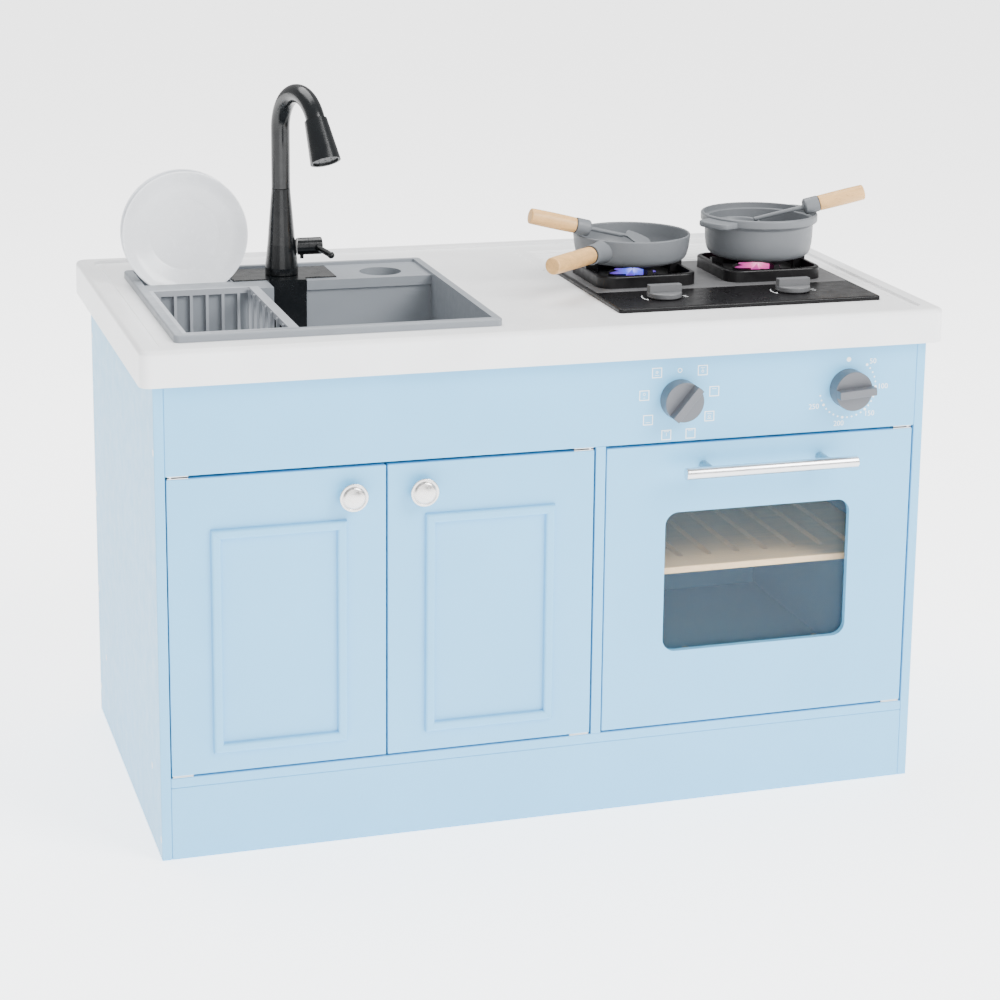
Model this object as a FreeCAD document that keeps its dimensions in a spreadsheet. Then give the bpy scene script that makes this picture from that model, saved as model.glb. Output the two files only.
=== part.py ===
import FreeCAD, Part
import math
import os
import re

import Sketcher
from FreeCAD import Placement, Rotation, Vector

# Toy kitchen: a low cabinet with two doors and an oven, under a moulded worktop that
# carries a sink with a faucet and a two-burner hob.
# Frame: x to the right, z up from the floor, origin at the centre of the footprint.
# The expressions below measure y back from the cabinet's front plane; at() moves it.

DRIVING = [
    # cabinet of flat boards
    ("cabinet_width", 800), ("cabinet_depth", 430), ("cabinet_height", 480), ("board", 10),
    ("edge_round", 1), ("back_inset", 1), ("shelf_top", 84.8),
    ("fascia_drop", 90.5), ("oven_bay", 339.25), ("board_gap", 0.1),
    ("screw_front", 53), ("screw_rear", 54), ("screw_low", 29), ("screw_upper", 225),
    ("screw_pitch", 110),
    ("screw_top", 45), ("screw_plinth", 21), ("screw_fascia", 23.5),
    # fixings
    ("screw_radius", 1.75), ("screw_head_radius", 3.5), ("screw_head_depth", 2.4),
    ("screw_length", 30), ("fit_gap", 0.05),
    # doors
    ("door_gap_side", 1.2), ("door_gap_bottom", 2), ("door_gap_top", 3),
    ("door_shift", 0.5), ("door_split_gap", 1.8), ("pivot_in", 4), ("pivot_back", 3),
    ("pivot_radius", 1.5), ("pivot_length", 9), ("plate_length", 20), ("plate_thick", 0.8),
    ("moulding_width", 9.6), ("moulding_proud", 5), ("moulding_up", 22.7),
    ("moulding_down", 52), ("moulding_in", 41.2),
    ("mitre_gap", 0.1), ("door_knob_drop", 30.5), ("door_knob_in", 34.5),
    ("door_knob_radius", 14.5), ("door_knob_ring", 2.2),
    ("door_knob_crown", 3), ("catch_size", 12), ("catch_gap", 0.5),
    # oven
    ("oven_gap_left", 1.4), ("oven_gap_right", 2), ("window_wide", 204.1),
    ("window_shift", -2), ("window_up", 79.2), ("window_down", 71.5), ("window_corner", 14),
    ("pane_thick", 3), ("pane_lap", 6),
    ("handle_length", 188), ("handle_radius", 6), ("handle_reach", 29.5),
    ("handle_drop", 26), ("handle_off", 1.5), ("post_pitch", 128),
    ("post_radius", 4.5), ("stud_radius", 2), ("nut_high", 3), ("clip_radius", 6),
    ("clip_in", 30), ("clip_thick", 1.6), ("rack_top", 248), ("rack_thick", 7),
    ("rack_front", 25), ("rack_rear", 20), ("rack_slot_pitch", 32),
    ("rack_slot", 7), ("rack_slot_margin", 33), ("batten", 12),
    # dials on the fascia
    ("dial_drop", 46), ("dial_pitch", 185), ("dial_radius", 20.5), ("dial_depth", 28),
    ("dial_bar", 8), ("dial_bar_depth", 11), ("dial_soft", 0.7), ("spindle_radius", 4),
    ("mode_turn", 40),
    ("temperature_turn", 86),
    # worktop
    ("top_thick", 35.5), ("top_side", 13.2), ("top_front", 14.2), ("top_back", 21.5),
    ("top_wall", 4), ("top_corner", 11), ("top_round", 5), ("top_rim", 17), ("top_dish", 3),
    # sink
    ("sink_edge", 26), ("sink_width", 325), ("sink_front", 28), ("sink_long", 328),
    ("sink_rim", 9), ("sink_rim_rise", 7.5), ("sink_wall", 3), ("sink_drop", 80.5),
    ("sink_corner", 6), ("deck_drop", 3), ("deck_long", 87),
    ("deck_step", 26), ("deck_lip", 10), ("plate_well_wide", 102),
    ("plate_well_in", 14), ("plate_well_drop", 16), ("well_back", 5),
    ("cup_side", 57.4), ("cup_rear", 54), ("cup_radius", 22.5),
    ("cup_drop", 45),
    # faucet
    ("faucet_side", 160.5), ("faucet_rear", 50.6), ("faucet_plate_wide", 111),
    ("faucet_plate_off", 56.5), ("faucet_plate_long", 60), ("faucet_plate_rear", 15),
    ("faucet_plate_thick", 3.5), ("pump_box_wide", 40.7), ("pump_box_off", 21),
    ("pump_box_rear", 24.6),
    ("column_radius", 17.5), ("column_height", 92.5), ("column_foot", 8),
    ("column_mid", 33), ("column_waist", 64),
    ("neck_radius", 9.9), ("neck_bore", 6.5), ("spout_rise", 63), ("spout_bend", 42),
    ("spout_sweep", 152.5), ("spout_turn", 15.5), ("spout_shank", 15), ("joint_gap", 0.3),
    ("head_length", 46), ("head_top_radius", 11.8), ("head_face_radius", 16),
    ("valve_height", 29), ("valve_radius", 9.2), ("valve_reach", 28), ("cap_length", 15),
    ("lever_length", 46), ("lever_radius", 3.2), ("pump_radius", 15),
    ("pump_height", 40),
    ("hose_radius", 4), ("hose_bore", 2.5),
    # dish rack that hangs in the sink
    ("basket_reach", 122.5), ("basket_bar", 10), ("basket_depth", 62),
    ("basket_rib", 3), ("basket_pitch_x", 16.4), ("basket_pitch_y", 28.9),
    ("basket_first_in", 10.5), ("basket_gap", 0.4),
    # plates
    ("plate_radius", 66), ("plate_flat", 37), ("plate_deep", 11),
    ("plate_wall", 2.4), ("plate_lean", 10), ("plate_side", 57.5),
    ("plate_rest", 0.8), ("plate_in", 4.5), ("plate_step", 16),
    # hob
    ("hob_in", 28.5), ("hob_width", 290), ("hob_front", 54),
    ("hob_deep", 227), ("hob_thick", 4.6), ("hob_corner", 4), ("hob_edge", 1.8),
    ("burner_shift", -5.5), ("burner_pitch", 144.2), ("burner_in", 152),
    ("grate_size", 110), ("grate_high", 13), ("grate_wall", 5),
    ("grate_corner", 17), ("grate_floor", 1.5), ("grate_tab", 9), ("grate_tab_high", 5),
    ("lens_radius", 27), ("lens_thick", 4), ("lens_stem", 9), ("knob_shift", -2.5),
    ("knob_in", 46.5), ("hob_knob_radius", 18.3), ("hob_knob_disc", 6),
    ("hob_knob_high", 13.2), ("hob_knob_bar", 9.5), ("hob_knob_soft", 1.5),
    # electronics under the hob
    ("case_inset", 10), ("case_depth", 42), ("case_wall", 2), ("cell_radius", 7.25),
    ("cell_length", 50.5), ("board_thick", 1.6), ("speaker_radius", 20),
    ("speaker_high", 8), ("speaker_off", -90), ("hatch_front", 100),
    ("hatch_deep", 75), ("hatch_wide", 80),
    # pans and tools
    ("pan_radius", 63.2), ("pan_bend", 16), ("pan_high", 31), ("pan_wall", 2.5),
    ("pan_turn", 220), ("socket_radius", 10.6), ("socket_reach", 20.8), ("dowel_radius", 5),
    ("grip_radius", 9.3), ("pan_grip", 75), ("pan_grip_high", 18), ("pan_off", 7),
    ("pot_radius", 59), ("pot_lip", 4.5), ("pot_bend", 17), ("pot_high", 48.5),
    ("pot_band", 9.5), ("pot_wall", 3), ("pot_turn", 28), ("ear_out", 18.5),
    ("ear_width", 42), ("ear_thick", 7), ("ear_corner", 9),
    ("tool_grip_radius", 8.6), ("tool_grip", 52), ("tool_ferrule", 16),
    ("tool_shaft_radius", 2.4), ("spatula_fall", 13.6), ("spatula_shaft", 38),
    ("spatula_blade", 36), ("spatula_wide", 34), ("spatula_rise", 54.5),
    ("spatula_out", 54.8), ("spatula_side", -11), ("ladle_fall", 13), ("ladle_shaft", 56),
    ("ladle_bowl", 22), ("ladle_rise", 71), ("ladle_out", 45.5), ("ladle_side", -30),
]

DERIVED = [
    ("front_reach", "handle_reach + handle_radius"),
    ("rear_reach", "cabinet_depth + top_back"),
    ("front_y", "(front_reach - rear_reach) / 2"),
    ("half", "cabinet_width / 2"),
    ("inner", "half - board"),
    ("back_face", "cabinet_depth - back_inset - board"),
    ("divider_right", "inner - oven_bay"),
    ("divider_left", "divider_right - board"),
    ("divider_centre", "divider_right - board / 2"),
    ("door_split", "(divider_left - inner) / 2 + door_shift"),
    ("dial_centre", "divider_right + oven_bay / 2"),
    ("top_z", "cabinet_height + top_thick"),
    ("deck_z", "top_z - top_dish"),
    ("fascia_bottom", "cabinet_height - fascia_drop"),
    ("dial_height", "cabinet_height - dial_drop"),
    ("door_bottom", "shelf_top + door_gap_bottom"),
    ("door_top", "fascia_bottom - door_gap_top"),
    ("door_knob_height", "fascia_bottom - door_knob_drop"),
    ("handle_height", "fascia_bottom - handle_drop"),
    ("moulding_bottom", "shelf_top + moulding_up"),
    ("moulding_long", "door_top - moulding_down - moulding_bottom"),
    ("moulding_wide", "(divider_left + inner) / 2 - moulding_in * 2"),
    ("window_left", "dial_centre + window_shift - window_wide / 2"),
    ("window_right", "window_left + window_wide"),
    ("window_bottom", "door_bottom + window_up"),
    ("window_top", "door_top - window_down"),
    ("sink_left", "sink_edge - half"),
    ("sink_right", "sink_left + sink_width"),
    ("sink_back", "sink_front + sink_long"),
    ("deck_front", "sink_back - deck_long"),
    ("deck_front_left", "deck_front - deck_step"),
    ("plate_well_right", "sink_left + plate_well_wide"),
    ("plate_well_front", "deck_front + plate_well_in"),
    ("cup_centre", "sink_right - cup_side"),
    ("cup_back", "sink_back - cup_rear"),
    ("faucet_x", "sink_left + faucet_side"),
    ("faucet_back", "sink_back - faucet_rear"),
    ("faucet_plate_left", "faucet_x - faucet_plate_off"),
    ("faucet_plate_right", "faucet_plate_left + faucet_plate_wide"),
    ("faucet_plate_back", "sink_back - faucet_plate_rear"),
    ("faucet_plate_front", "faucet_plate_back - faucet_plate_long"),
    ("pump_box_left", "faucet_x - pump_box_off"),
    ("pump_box_right", "pump_box_left + pump_box_wide"),
    ("pump_box_back", "faucet_back + pump_box_rear"),
    ("basket_right", "sink_left + basket_reach"),
    ("plate_x", "sink_left + plate_side"),
    ("sink_in", "sink_left + sink_rim"),
    ("sink_out", "sink_right - sink_rim"),
    ("basket_first", "sink_in + basket_first_in"),
    ("sink_near", "sink_front + sink_rim"),
    ("sink_far", "sink_back - sink_rim"),
    ("sink_top", "deck_z + sink_rim_rise"),
    ("sink_deck", "sink_top - deck_drop"),
    ("sink_floor", "deck_z - sink_drop"),
    ("well_floor", "sink_deck - plate_well_drop"),
    ("faucet_seat", "sink_deck - 2"),
    ("faucet_base", "faucet_seat + faucet_plate_thick"),
    ("neck_z", "faucet_base + column_height"),
    ("valve_z", "faucet_base + valve_height"),
    ("plate_first", "plate_well_front + plate_in"),
    ("hob_top", "deck_z + hob_thick"),
    ("hob_centre", "half - hob_in - hob_width / 2"),
    ("hob_back", "hob_front + hob_deep"),
    ("hatch_middle", "hob_front + hatch_front + hatch_deep / 2"),
    ("burner_back", "hob_front + burner_in"),
    ("hob_knob_back", "hob_front + knob_in"),
    ("pan_base", "pan_radius - pan_bend - 1.2"),
    ("socket_end", "pan_radius + socket_reach"),
    ("pot_rim_radius", "pot_radius + pot_lip"),
    ("ear_reach", "pot_rim_radius + ear_out"),
    ("pan_rest", "hob_top + grate_high + grate_tab_high"),
    ("case_top", "deck_z - board_gap"),
    ("case_bottom", "deck_z - case_depth"),
]

ALIASES = {name for name, _ in DRIVING + DERIVED}
doc = FreeCAD.newDocument("toy_kitchen")
dims = doc.addObject("Spreadsheet::Sheet", "dims")
for row, (alias, value) in enumerate(DRIVING, start=1):
    dims.set(f"A{row}", alias)
    dims.set(f"B{row}", str(value))
    dims.setAlias(f"B{row}", alias)
for row, (alias, formula) in enumerate(DERIVED, start=1):
    dims.set(f"D{row}", alias)
    dims.set(f"E{row}", "=" + formula)
    dims.setAlias(f"E{row}", alias)
doc.recompute()

X, Y, Z = Vector(1, 0, 0), Vector(0, 1, 0), Vector(0, 0, 1)
AIM = {
    "x": Rotation(Z, X), "-x": Rotation(Z, -X), "y": Rotation(Z, Y), "-y": Rotation(Z, -Y),
    "z": Rotation(), "-z": Rotation(X, 180),
}
parts = []


def ex(text):
    """An expression on the sheet: every word that is an alias gets the sheet's name."""
    return re.sub(r"[a-z_]+", lambda w: "dims." + w.group() if w.group() in ALIASES else w.group(),
                  str(text))


def val(text):
    """The number that an expression gives now."""
    return float(dims.evalExpression(ex(text)))


def at(obj, x, y, z, turn=None):
    """Place an object, its y measured back from the cabinet's front plane."""
    if turn is not None:
        obj.Placement = Placement(Vector(), turn)
    obj.setExpression("Placement.Base.x", ex(x))
    obj.setExpression("Placement.Base.y", ex(f"front_y + {y}"))
    obj.setExpression("Placement.Base.z", ex(z))
    return obj


def box(name, x, y, z):
    """A block, each of its three spans a pair of expressions."""
    obj = doc.addObject("Part::Box", name)
    for prop, (low, high) in zip(("Length", "Width", "Height"), (x, y, z)):
        obj.setExpression(prop, ex(f"({high}) - ({low})"))
    return at(obj, f"({x[0]})", f"({y[0]})", f"({z[0]})")


def rod(name, aim, start, radius, length):
    """A round bar from its start point along an axis."""
    obj = doc.addObject("Part::Cylinder", name)
    obj.setExpression("Radius", ex(radius))
    obj.setExpression("Height", ex(length))
    turn = AIM[aim] if isinstance(aim, str) else aim
    return at(obj, *start, turn)


def taper(name, aim, start, radius, end_radius, length):
    """A round taper from its start point along an axis."""
    obj = doc.addObject("Part::Cone", name)
    obj.setExpression("Radius1", ex(radius))
    obj.setExpression("Radius2", ex(end_radius))
    obj.setExpression("Height", ex(length))
    turn = AIM[aim] if isinstance(aim, str) else aim
    return at(obj, *start, turn)


def group(name, pieces):
    """Separate solids kept together."""
    obj = doc.addObject("Part::Compound", name)
    obj.Links = pieces
    return obj


def fuse(name, *pieces):
    """Pieces that are one moulding."""
    obj = doc.addObject("Part::MultiFuse", name)
    obj.Shapes = list(pieces)
    obj.Refine = True
    return obj


def cut(name, base, *tools):
    """A piece with holes and pockets."""
    obj = doc.addObject("Part::Cut", name)
    obj.Base = base
    obj.Tool = tools[0] if len(tools) == 1 else group(name + "_tools", list(tools))
    return obj


def meet(name, base, tool):
    """What two shapes share."""
    obj = doc.addObject("Part::Common", name)
    obj.Base = base
    obj.Tool = tool
    return obj


def rounded(name, base, radius, pick=lambda edge: True):
    """A piece with the edges that pick() chooses rounded."""
    doc.recompute()
    size = val(radius)
    edges = [(i, size, size) for i, edge in enumerate(base.Shape.Edges, start=1) if pick(edge)]
    obj = doc.addObject("Part::Fillet", name)
    obj.Base = base
    obj.Edges = edges
    return obj


def along(axis):
    """A pick of the straight edges that run along an axis."""
    def pick(edge):
        ends = [v.Point for v in edge.Vertexes]
        if len(ends) < 2 or edge.Curve.TypeId != "Part::GeomLine":
            return False
        return abs((ends[1] - ends[0]).normalize().dot(axis)) > 0.999
    return pick


def facing(axis, level):
    """A pick of the edges that lie in the plane at a level along an axis."""
    def pick(edge):
        low = min(v.Point.dot(axis) for v in edge.Vertexes)
        high = max(v.Point.dot(axis) for v in edge.Vertexes)
        return abs(low - level) < 1e-4 and abs(high - level) < 1e-4
    return pick


def board(name, x, y, z):
    """A painted board with softened edges."""
    return rounded(name, box(name + "_blank", x, y, z), "edge_round")


def turned(name, outline, place=None):
    """A body of revolution about z. The outline's points are (radius, height) expressions;
    a third entry makes the run to the next point an arc of that radius, and a fourth of
    -1 bends it the other way."""
    body = doc.addObject("PartDesign::Body", name)
    sketch = body.newObject("Sketcher::SketchObject", name + "_outline")
    plane = [f for f in body.Origin.OriginFeatures if f.Role == "XZ_Plane"][0]
    sketch.AttachmentSupport = [(plane, "")]
    sketch.MapMode = "FlatFace"
    spots = [Vector(val(p[0]), val(p[1]), 0) for p in outline]
    ends = []
    for i, point in enumerate(outline):
        a, b = spots[i], spots[(i + 1) % len(spots)]
        if len(point) < 3:
            sketch.addGeometry(Part.LineSegment(a, b), False)
            ends.append((1, 2))
            continue
        side = point[3] if len(point) > 3 else 1
        radius = val(point[2])
        mid, run = (a + b) * 0.5, b - a
        normal = Vector(-run.y, run.x, 0).normalize() * side
        centre = mid + normal * math.sqrt(max(radius ** 2 - (run.Length / 2) ** 2, 0))
        first, last = (a, b) if side > 0 else (b, a)
        angles = [math.atan2(p.y - centre.y, p.x - centre.x) for p in (first, last)]
        circle = Part.Circle(centre, Z, radius)
        sketch.addGeometry(Part.ArcOfCircle(circle, angles[0], angles[1]), False)
        ends.append((1, 2) if side > 0 else (2, 1))
    count = len(outline)
    for i in range(count):
        nxt = (i + 1) % count
        sketch.addConstraint(Sketcher.Constraint("Coincident", i, ends[i][1], nxt, ends[nxt][0]))
    for i, point in enumerate(outline):
        for kind, text in (("DistanceX", point[0]), ("DistanceY", point[1])):
            rule = Sketcher.Constraint(kind, -1, 1, i, ends[i][0], val(text))
            sketch.setExpression(f"Constraints[{sketch.addConstraint(rule)}]", ex(text))
        if len(point) > 2:
            rule = Sketcher.Constraint("Radius", i, val(point[2]))
            sketch.setExpression(f"Constraints[{sketch.addConstraint(rule)}]", ex(point[2]))
    spin = body.newObject("PartDesign::Revolution", name + "_turn")
    spin.Profile = sketch
    spin.ReferenceAxis = (sketch, ["V_Axis"])
    spin.Angle = 360
    sketch.Visibility = False
    if place is not None:
        at(body, *place)
    return body


def part(label, obj):
    """A finished sub-part: its label names its file."""
    obj.Label = label
    parts.append(obj)
    return obj


# ---------------------------------------------------------------- screws
screws = []


def screw(name, aim, x, y, z):
    """A countersunk screw flush with the face at its start; returns the hole for it."""
    shank = rod(name + "_shank", aim, (x, y, z), "screw_radius", "screw_length")
    head = taper(name + "_head", aim, (x, y, z), "screw_head_radius", "screw_radius",
                 "screw_head_depth")
    screws.append(fuse(name, shank, head))
    bore = rod(name + "_bore", aim, (x, y, z), "screw_radius + fit_gap", "screw_length + fit_gap")
    sink = taper(name + "_sink", aim, (x, y, z), "screw_head_radius + fit_gap",
                 "screw_radius + fit_gap", "screw_head_depth")
    return fuse(name + "_hole", bore, sink)


shelf_mid = "(shelf_top - board / 2)"
back_mid = "(back_face + board / 2)"
rear_heights = ("cabinet_height - screw_top", "cabinet_height - screw_upper",
                "cabinet_height - screw_upper - screw_pitch", "screw_low")
side_holes = {"back": [], "shelf": [], "plinth": [], "fascia": []}
side_drill = {-1: [], 1: []}
for side, aim in ((-1, "x"), (1, "-x")):
    tag = "left" if side < 0 else "right"
    x = f"({side} * half)"
    spots = [("back", back_mid, height) for height in rear_heights]
    spots += [("shelf", depth, shelf_mid) for depth in ("screw_front", "(cabinet_depth - screw_rear)")]
    spots += [("plinth", "board / 2", "screw_plinth"),
              ("fascia", "board / 2", "fascia_bottom + screw_fascia")]
    for i, (mate, y, z) in enumerate(spots):
        hole = screw(f"{tag}_screw_{i}", aim, x, y, z)
        side_holes[mate].append(hole)
        side_drill[side].append(hole)
divider_holes = [screw(f"divider_screw_{i}", "z", "divider_centre", y, "(shelf_top - board)")
                 for i, y in enumerate(("screw_front", "(cabinet_depth - screw_rear * 1.5)"))]
rear_holes = [screw(f"rear_screw_{i}", "-y", x, "(back_face + board)", shelf_mid)
              for i, x in enumerate(("(half / -2)", "(half / 2)"))]
part("panel_screws", group("panel_screws", screws))

# ---------------------------------------------------------------- cabinet boards
for side, tag in ((-1, "left"), (1, "right")):
    span = ("-half", "-inner") if side < 0 else ("inner", "half")
    blank = board(tag + "_side", span, ("0", "cabinet_depth"), ("0", "cabinet_height"))
    part(tag + "_side_panel", cut(tag + "_side_panel", blank, *side_drill[side]))

between = ("-inner + board_gap", "inner - board_gap")
shelf = board("shelf_blank", between, ("0", "back_face - board_gap"),
              ("shelf_top - board", "shelf_top"))
part("base_shelf", cut("base_shelf", shelf, *side_holes["shelf"], *divider_holes, *rear_holes))

plinth = board("plinth", between, ("0", "board"), ("0", "shelf_top - board - board_gap"))
part("plinth_board", cut("plinth_board", plinth, *side_holes["plinth"]))

back = board("back", between, ("back_face", "back_face + board"), ("0", "cabinet_height"))
part("back_panel", cut("back_panel", back, *side_holes["back"], *rear_holes))

divider = box("divider_blank", ("divider_left", "divider_right"),
              ("0", "back_face - board_gap"), ("shelf_top + board_gap", "cabinet_height"))
notch = box("divider_notch", ("divider_left - 1", "divider_right + 1"),
            ("-1", "board + board_gap"), ("fascia_bottom - board_gap", "cabinet_height + 1"))
part("centre_divider", cut("centre_divider", divider, notch, *divider_holes))

dial_x = {"mode": "dial_centre - dial_pitch / 2", "temperature": "dial_centre + dial_pitch / 2"}
fascia = board("fascia", between, ("0", "board"), ("fascia_bottom", "cabinet_height"))
dial_bores = [rod(f"{tag}_bore", "y", (x, "(-1)", "dial_height"), "spindle_radius + fit_gap",
                  "board + 2") for tag, x in dial_x.items()]
part("control_fascia", cut("control_fascia", fascia, *side_holes["fascia"], *dial_bores))

# ---------------------------------------------------------------- doors
# Each door turns on a pin near its front corner. The front corner is close enough to the
# pin to pass the cabinet's side.
hinge_pivots = []


def pivots(tag, x, inward):
    """The cabinet's two pivot plates for one door; inward is the way the door reaches."""
    made = []
    for end, face, step in (("bottom", "shelf_top", 1), ("top", "fascia_bottom", -1)):
        ends = sorted((-3 * inward, (val("plate_length") - 3) * inward))
        first, last = [f"{x} + {e}" for e in ends]
        top = f"{face} + {step} * plate_thick"
        span = (face, top) if step > 0 else (top, face)
        plate = box(f"{tag}_{end}_pivot_plate", (first, last), ("1", "board - 1"), span)
        aim = "z" if step > 0 else "-z"
        reach = "pivot_length + " + ("door_gap_bottom" if step > 0 else "door_gap_top")
        pin = rod(f"{tag}_{end}_pin", aim, (x, "pivot_back", face), "pivot_radius", reach)
        made.append(fuse(f"{tag}_{end}_pivot", plate, pin))
    hinge_pivots.extend(made)


def door_plates(tag, x, inward, far):
    """The door's own two pivot plates and the steel striker at its far lower corner."""
    made = []
    for end, face, step in (("bottom", "door_bottom", -1), ("top", "door_top", 1)):
        ends = sorted((-(val("pivot_in") - 1) * inward, (val("plate_length") - 3) * inward))
        first, last = [f"{x} + {e}" for e in ends]
        out = f"{face} + {step} * plate_thick"
        span = (out, face) if step < 0 else (face, out)
        plate = box(f"{tag}_{end}_plate_blank", (first, last), ("1", "board - 1"), span)
        bore = rod(f"{tag}_{end}_plate_bore", "z", (x, "pivot_back", f"{face} - 5"),
                   "pivot_radius + fit_gap", "10")
        made.append(cut(f"{tag}_{end}_plate", plate, bore))
    ends = sorted((-8 * inward, -20 * inward))
    striker = box(tag + "_striker", (f"{far} + {ends[0]}", f"{far} + {ends[1]}"),
                  ("board", "board + plate_thick"), ("door_bottom + 2", "door_bottom + 12"))
    return part(tag + "_plates", group(tag + "_plates", made + [striker]))


def leaf(tag, left, right, pivot):
    """A door board with softened edges and a blind bore for each pivot pin."""
    blank = board(tag + "_blank", (left, right), ("0", "board"), ("door_bottom", "door_top"))
    bores = [rod(f"{tag}_{end}_bore", aim, (pivot, "pivot_back", z), "pivot_radius + 0.3",
                 "pivot_length + 1")
             for end, aim, z in (("bottom", "z", "door_bottom"), ("top", "-z", "door_top"))]
    return cut(tag + "_leaf", blank, *bores)


def moulding(tag, left, right):
    """Four mitred strips round a field, with rounded faces and a fine gap at each mitre."""
    low, high = "moulding_bottom", "moulding_bottom + moulding_long"
    outer = box(tag + "_field", (left, right), ("-moulding_proud", "0"), (low, high))
    inner = box(tag + "_field_inner", (f"{left} + moulding_width", f"{right} - moulding_width"),
                ("-moulding_proud - 1", "1"),
                (f"{low} + moulding_width", f"{high} - moulding_width"))
    ring = cut(tag + "_ring", outer, inner)
    front = val("front_y - moulding_proud")
    soft = rounded(tag + "_ring_soft", ring, "moulding_proud * 0.55", facing(Y, front))
    mitres = []
    for i, (x, z, tilt) in enumerate(((left, low, -45), (left, high, 45),
                                      (right, low, 45), (right, high, -45))):
        slab = doc.addObject("Part::Box", f"{tag}_mitre_{i}")
        slab.setExpression("Length", ex("mitre_gap"))
        slab.setExpression("Width", ex("moulding_proud + 2"))
        slab.setExpression("Height", ex("moulding_width * 4"))
        turn = Rotation(Y, -tilt)
        sunk = turn.multVec(Vector(val("mitre_gap") / -2, 0, val("moulding_width") * -2))
        at(slab, f"{x} + ({sunk.x})", "(-moulding_proud - 1)", f"{z} + ({sunk.z})", turn)
        mitres.append(slab)
    return part(tag + "_moulding", cut(tag + "_moulding", soft, *mitres))


def door_knob(tag, x):
    """A domed metal knob with a ringed edge, on a stem through the door."""
    rim = "door_knob_radius"
    face = f"({rim} - door_knob_ring)"
    dome = f"({face} * {face} / (2 * door_knob_crown) + door_knob_crown / 2)"
    body = turned(tag + "_knob", [
        ("0", "(-6)"), ("4", "(-6)"), ("4", "0.1"), ("6.5", "0.1"), ("5", "7"),
        (f"{rim} - 1", "9"), (rim, "9.8"), (rim, "12"), (f"{rim} - 1", "12.6"),
        (face, "12.6", dome), ("0", "12.6 + door_knob_crown")])
    body.Placement = Placement(Vector(), AIM["-y"])
    at(body, x, "0", "door_knob_height")
    return part(tag + "_knob", body)


left_door = ("-inner + door_gap_side", "door_split - door_split_gap / 2")
right_door = ("door_split + door_split_gap / 2", "divider_left - door_gap_side * 1.6")
left_pivot = f"({left_door[0]} + pivot_in)"
right_pivot = f"({right_door[1]} - pivot_in)"
for tag, span, pivot, inward in (("left_door", left_door, left_pivot, 1),
                                 ("right_door", right_door, right_pivot, -1)):
    pivots(tag, pivot, inward)
    near, far = (span[0], span[1]) if inward > 0 else (span[1], span[0])
    knob_x = f"({far} - {inward} * door_knob_in)"
    hole = rod(tag + "_knob_hole", "y", (knob_x, "(-1)", "door_knob_height"),
               "4 + fit_gap", "board + 2")
    part(tag + "_panel", cut(tag + "_panel", leaf(tag, *span, pivot), hole))
    start = f"({near} + moulding_in)" if inward > 0 else f"({near} - moulding_in - moulding_wide)"
    moulding(tag, start, f"({start} + moulding_wide)")
    door_knob(tag, knob_x)
    door_plates(tag, pivot, inward, far)

# ---------------------------------------------------------------- oven door
oven_door = ("divider_right + oven_gap_left", "inner - oven_gap_right")
oven_pivot = f"({oven_door[1]} - pivot_in)"
pivots("oven_door", oven_pivot, -1)
oven_leaf = leaf("oven_door", *oven_door, oven_pivot)
window_x, window_z = ("window_left", "window_right"), ("window_bottom", "window_top")
opening = rounded("window_opening", box("window_block", window_x, ("-1", "board + 1"), window_z),
                  "window_corner", along(Y))
pane_span = [("window_left - pane_lap", "window_right + pane_lap"),
             ("board - pane_thick", "board"),
             ("window_bottom - pane_lap", "window_top + pane_lap")]
rebate = box("window_rebate", ("window_left - pane_lap - 0.3", "window_right + pane_lap + 0.3"),
             ("board - pane_thick - 0.1", "board + 1"),
             ("window_bottom - pane_lap - 0.3", "window_top + pane_lap + 0.3"))
handle_x = "(window_left + window_right) / 2 + handle_off"
posts_x = [f"({handle_x} {sign} post_pitch / 2)" for sign in ("-", "+")]
stud_holes = [rod(f"stud_hole_{i}", "y", (x, "(-1)", "handle_height"), "stud_radius + fit_gap",
                  "board + 2") for i, x in enumerate(posts_x)]
part("oven_door_panel", cut("oven_door_panel", oven_leaf, opening, rebate, *stud_holes))
part("oven_window", box("oven_window", *pane_span))
clips = []
for i, (x, z) in enumerate((("window_left + clip_in", "window_bottom - pane_lap"),
                            ("window_right - clip_in", "window_bottom - pane_lap"),
                            ("window_left + clip_in", "window_top + pane_lap"),
                            ("window_right - clip_in", "window_top + pane_lap"))):
    clips.append(rod(f"window_clip_{i}", "y", (x, "board", z), "clip_radius",
                     "clip_thick"))
part("oven_window_clips", group("oven_window_clips", clips))
bar = rod("handle_bar_blank", "x", (f"{handle_x} - handle_length / 2", "(-handle_reach)",
                                    "handle_height"), "handle_radius", "handle_length")
part("oven_handle_bar", rounded("oven_handle_bar", bar, "edge_round"))
posts = []
for i, x in enumerate(posts_x):
    post = rod(f"post_{i}_blank", "-y", (x, "0", "handle_height"), "post_radius", "handle_reach")
    stud = rod(f"post_{i}_stud", "y", (x, "0", "handle_height"), "stud_radius", "board")
    nut = rod(f"post_{i}_nut", "y", (x, "board", "handle_height"), "post_radius",
              "nut_high")
    posts.append(cut(f"post_{i}", fuse(f"post_{i}_whole", post, stud, nut), bar))
part("oven_handle_posts", group("oven_handle_posts", posts))
door_plates("oven_door", oven_pivot, -1, oven_door[0])
part("hinge_pivots", group("hinge_pivots", hinge_pivots))

catches = []
for tag, far, inward in (("left_door", left_door[1], 1), ("right_door", right_door[0], -1),
                         ("oven_door", oven_door[0], -1)):
    ends = sorted((-8 * inward, -20 * inward))
    catches.append(box(tag + "_catch", (f"{far} + {ends[0]}", f"{far} + {ends[1]}"),
                       ("board + plate_thick + catch_gap", "board + plate_thick + catch_size"),
                       ("shelf_top", "shelf_top + catch_size + 2")))
part("magnet_catches", group("magnet_catches", catches))

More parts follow.
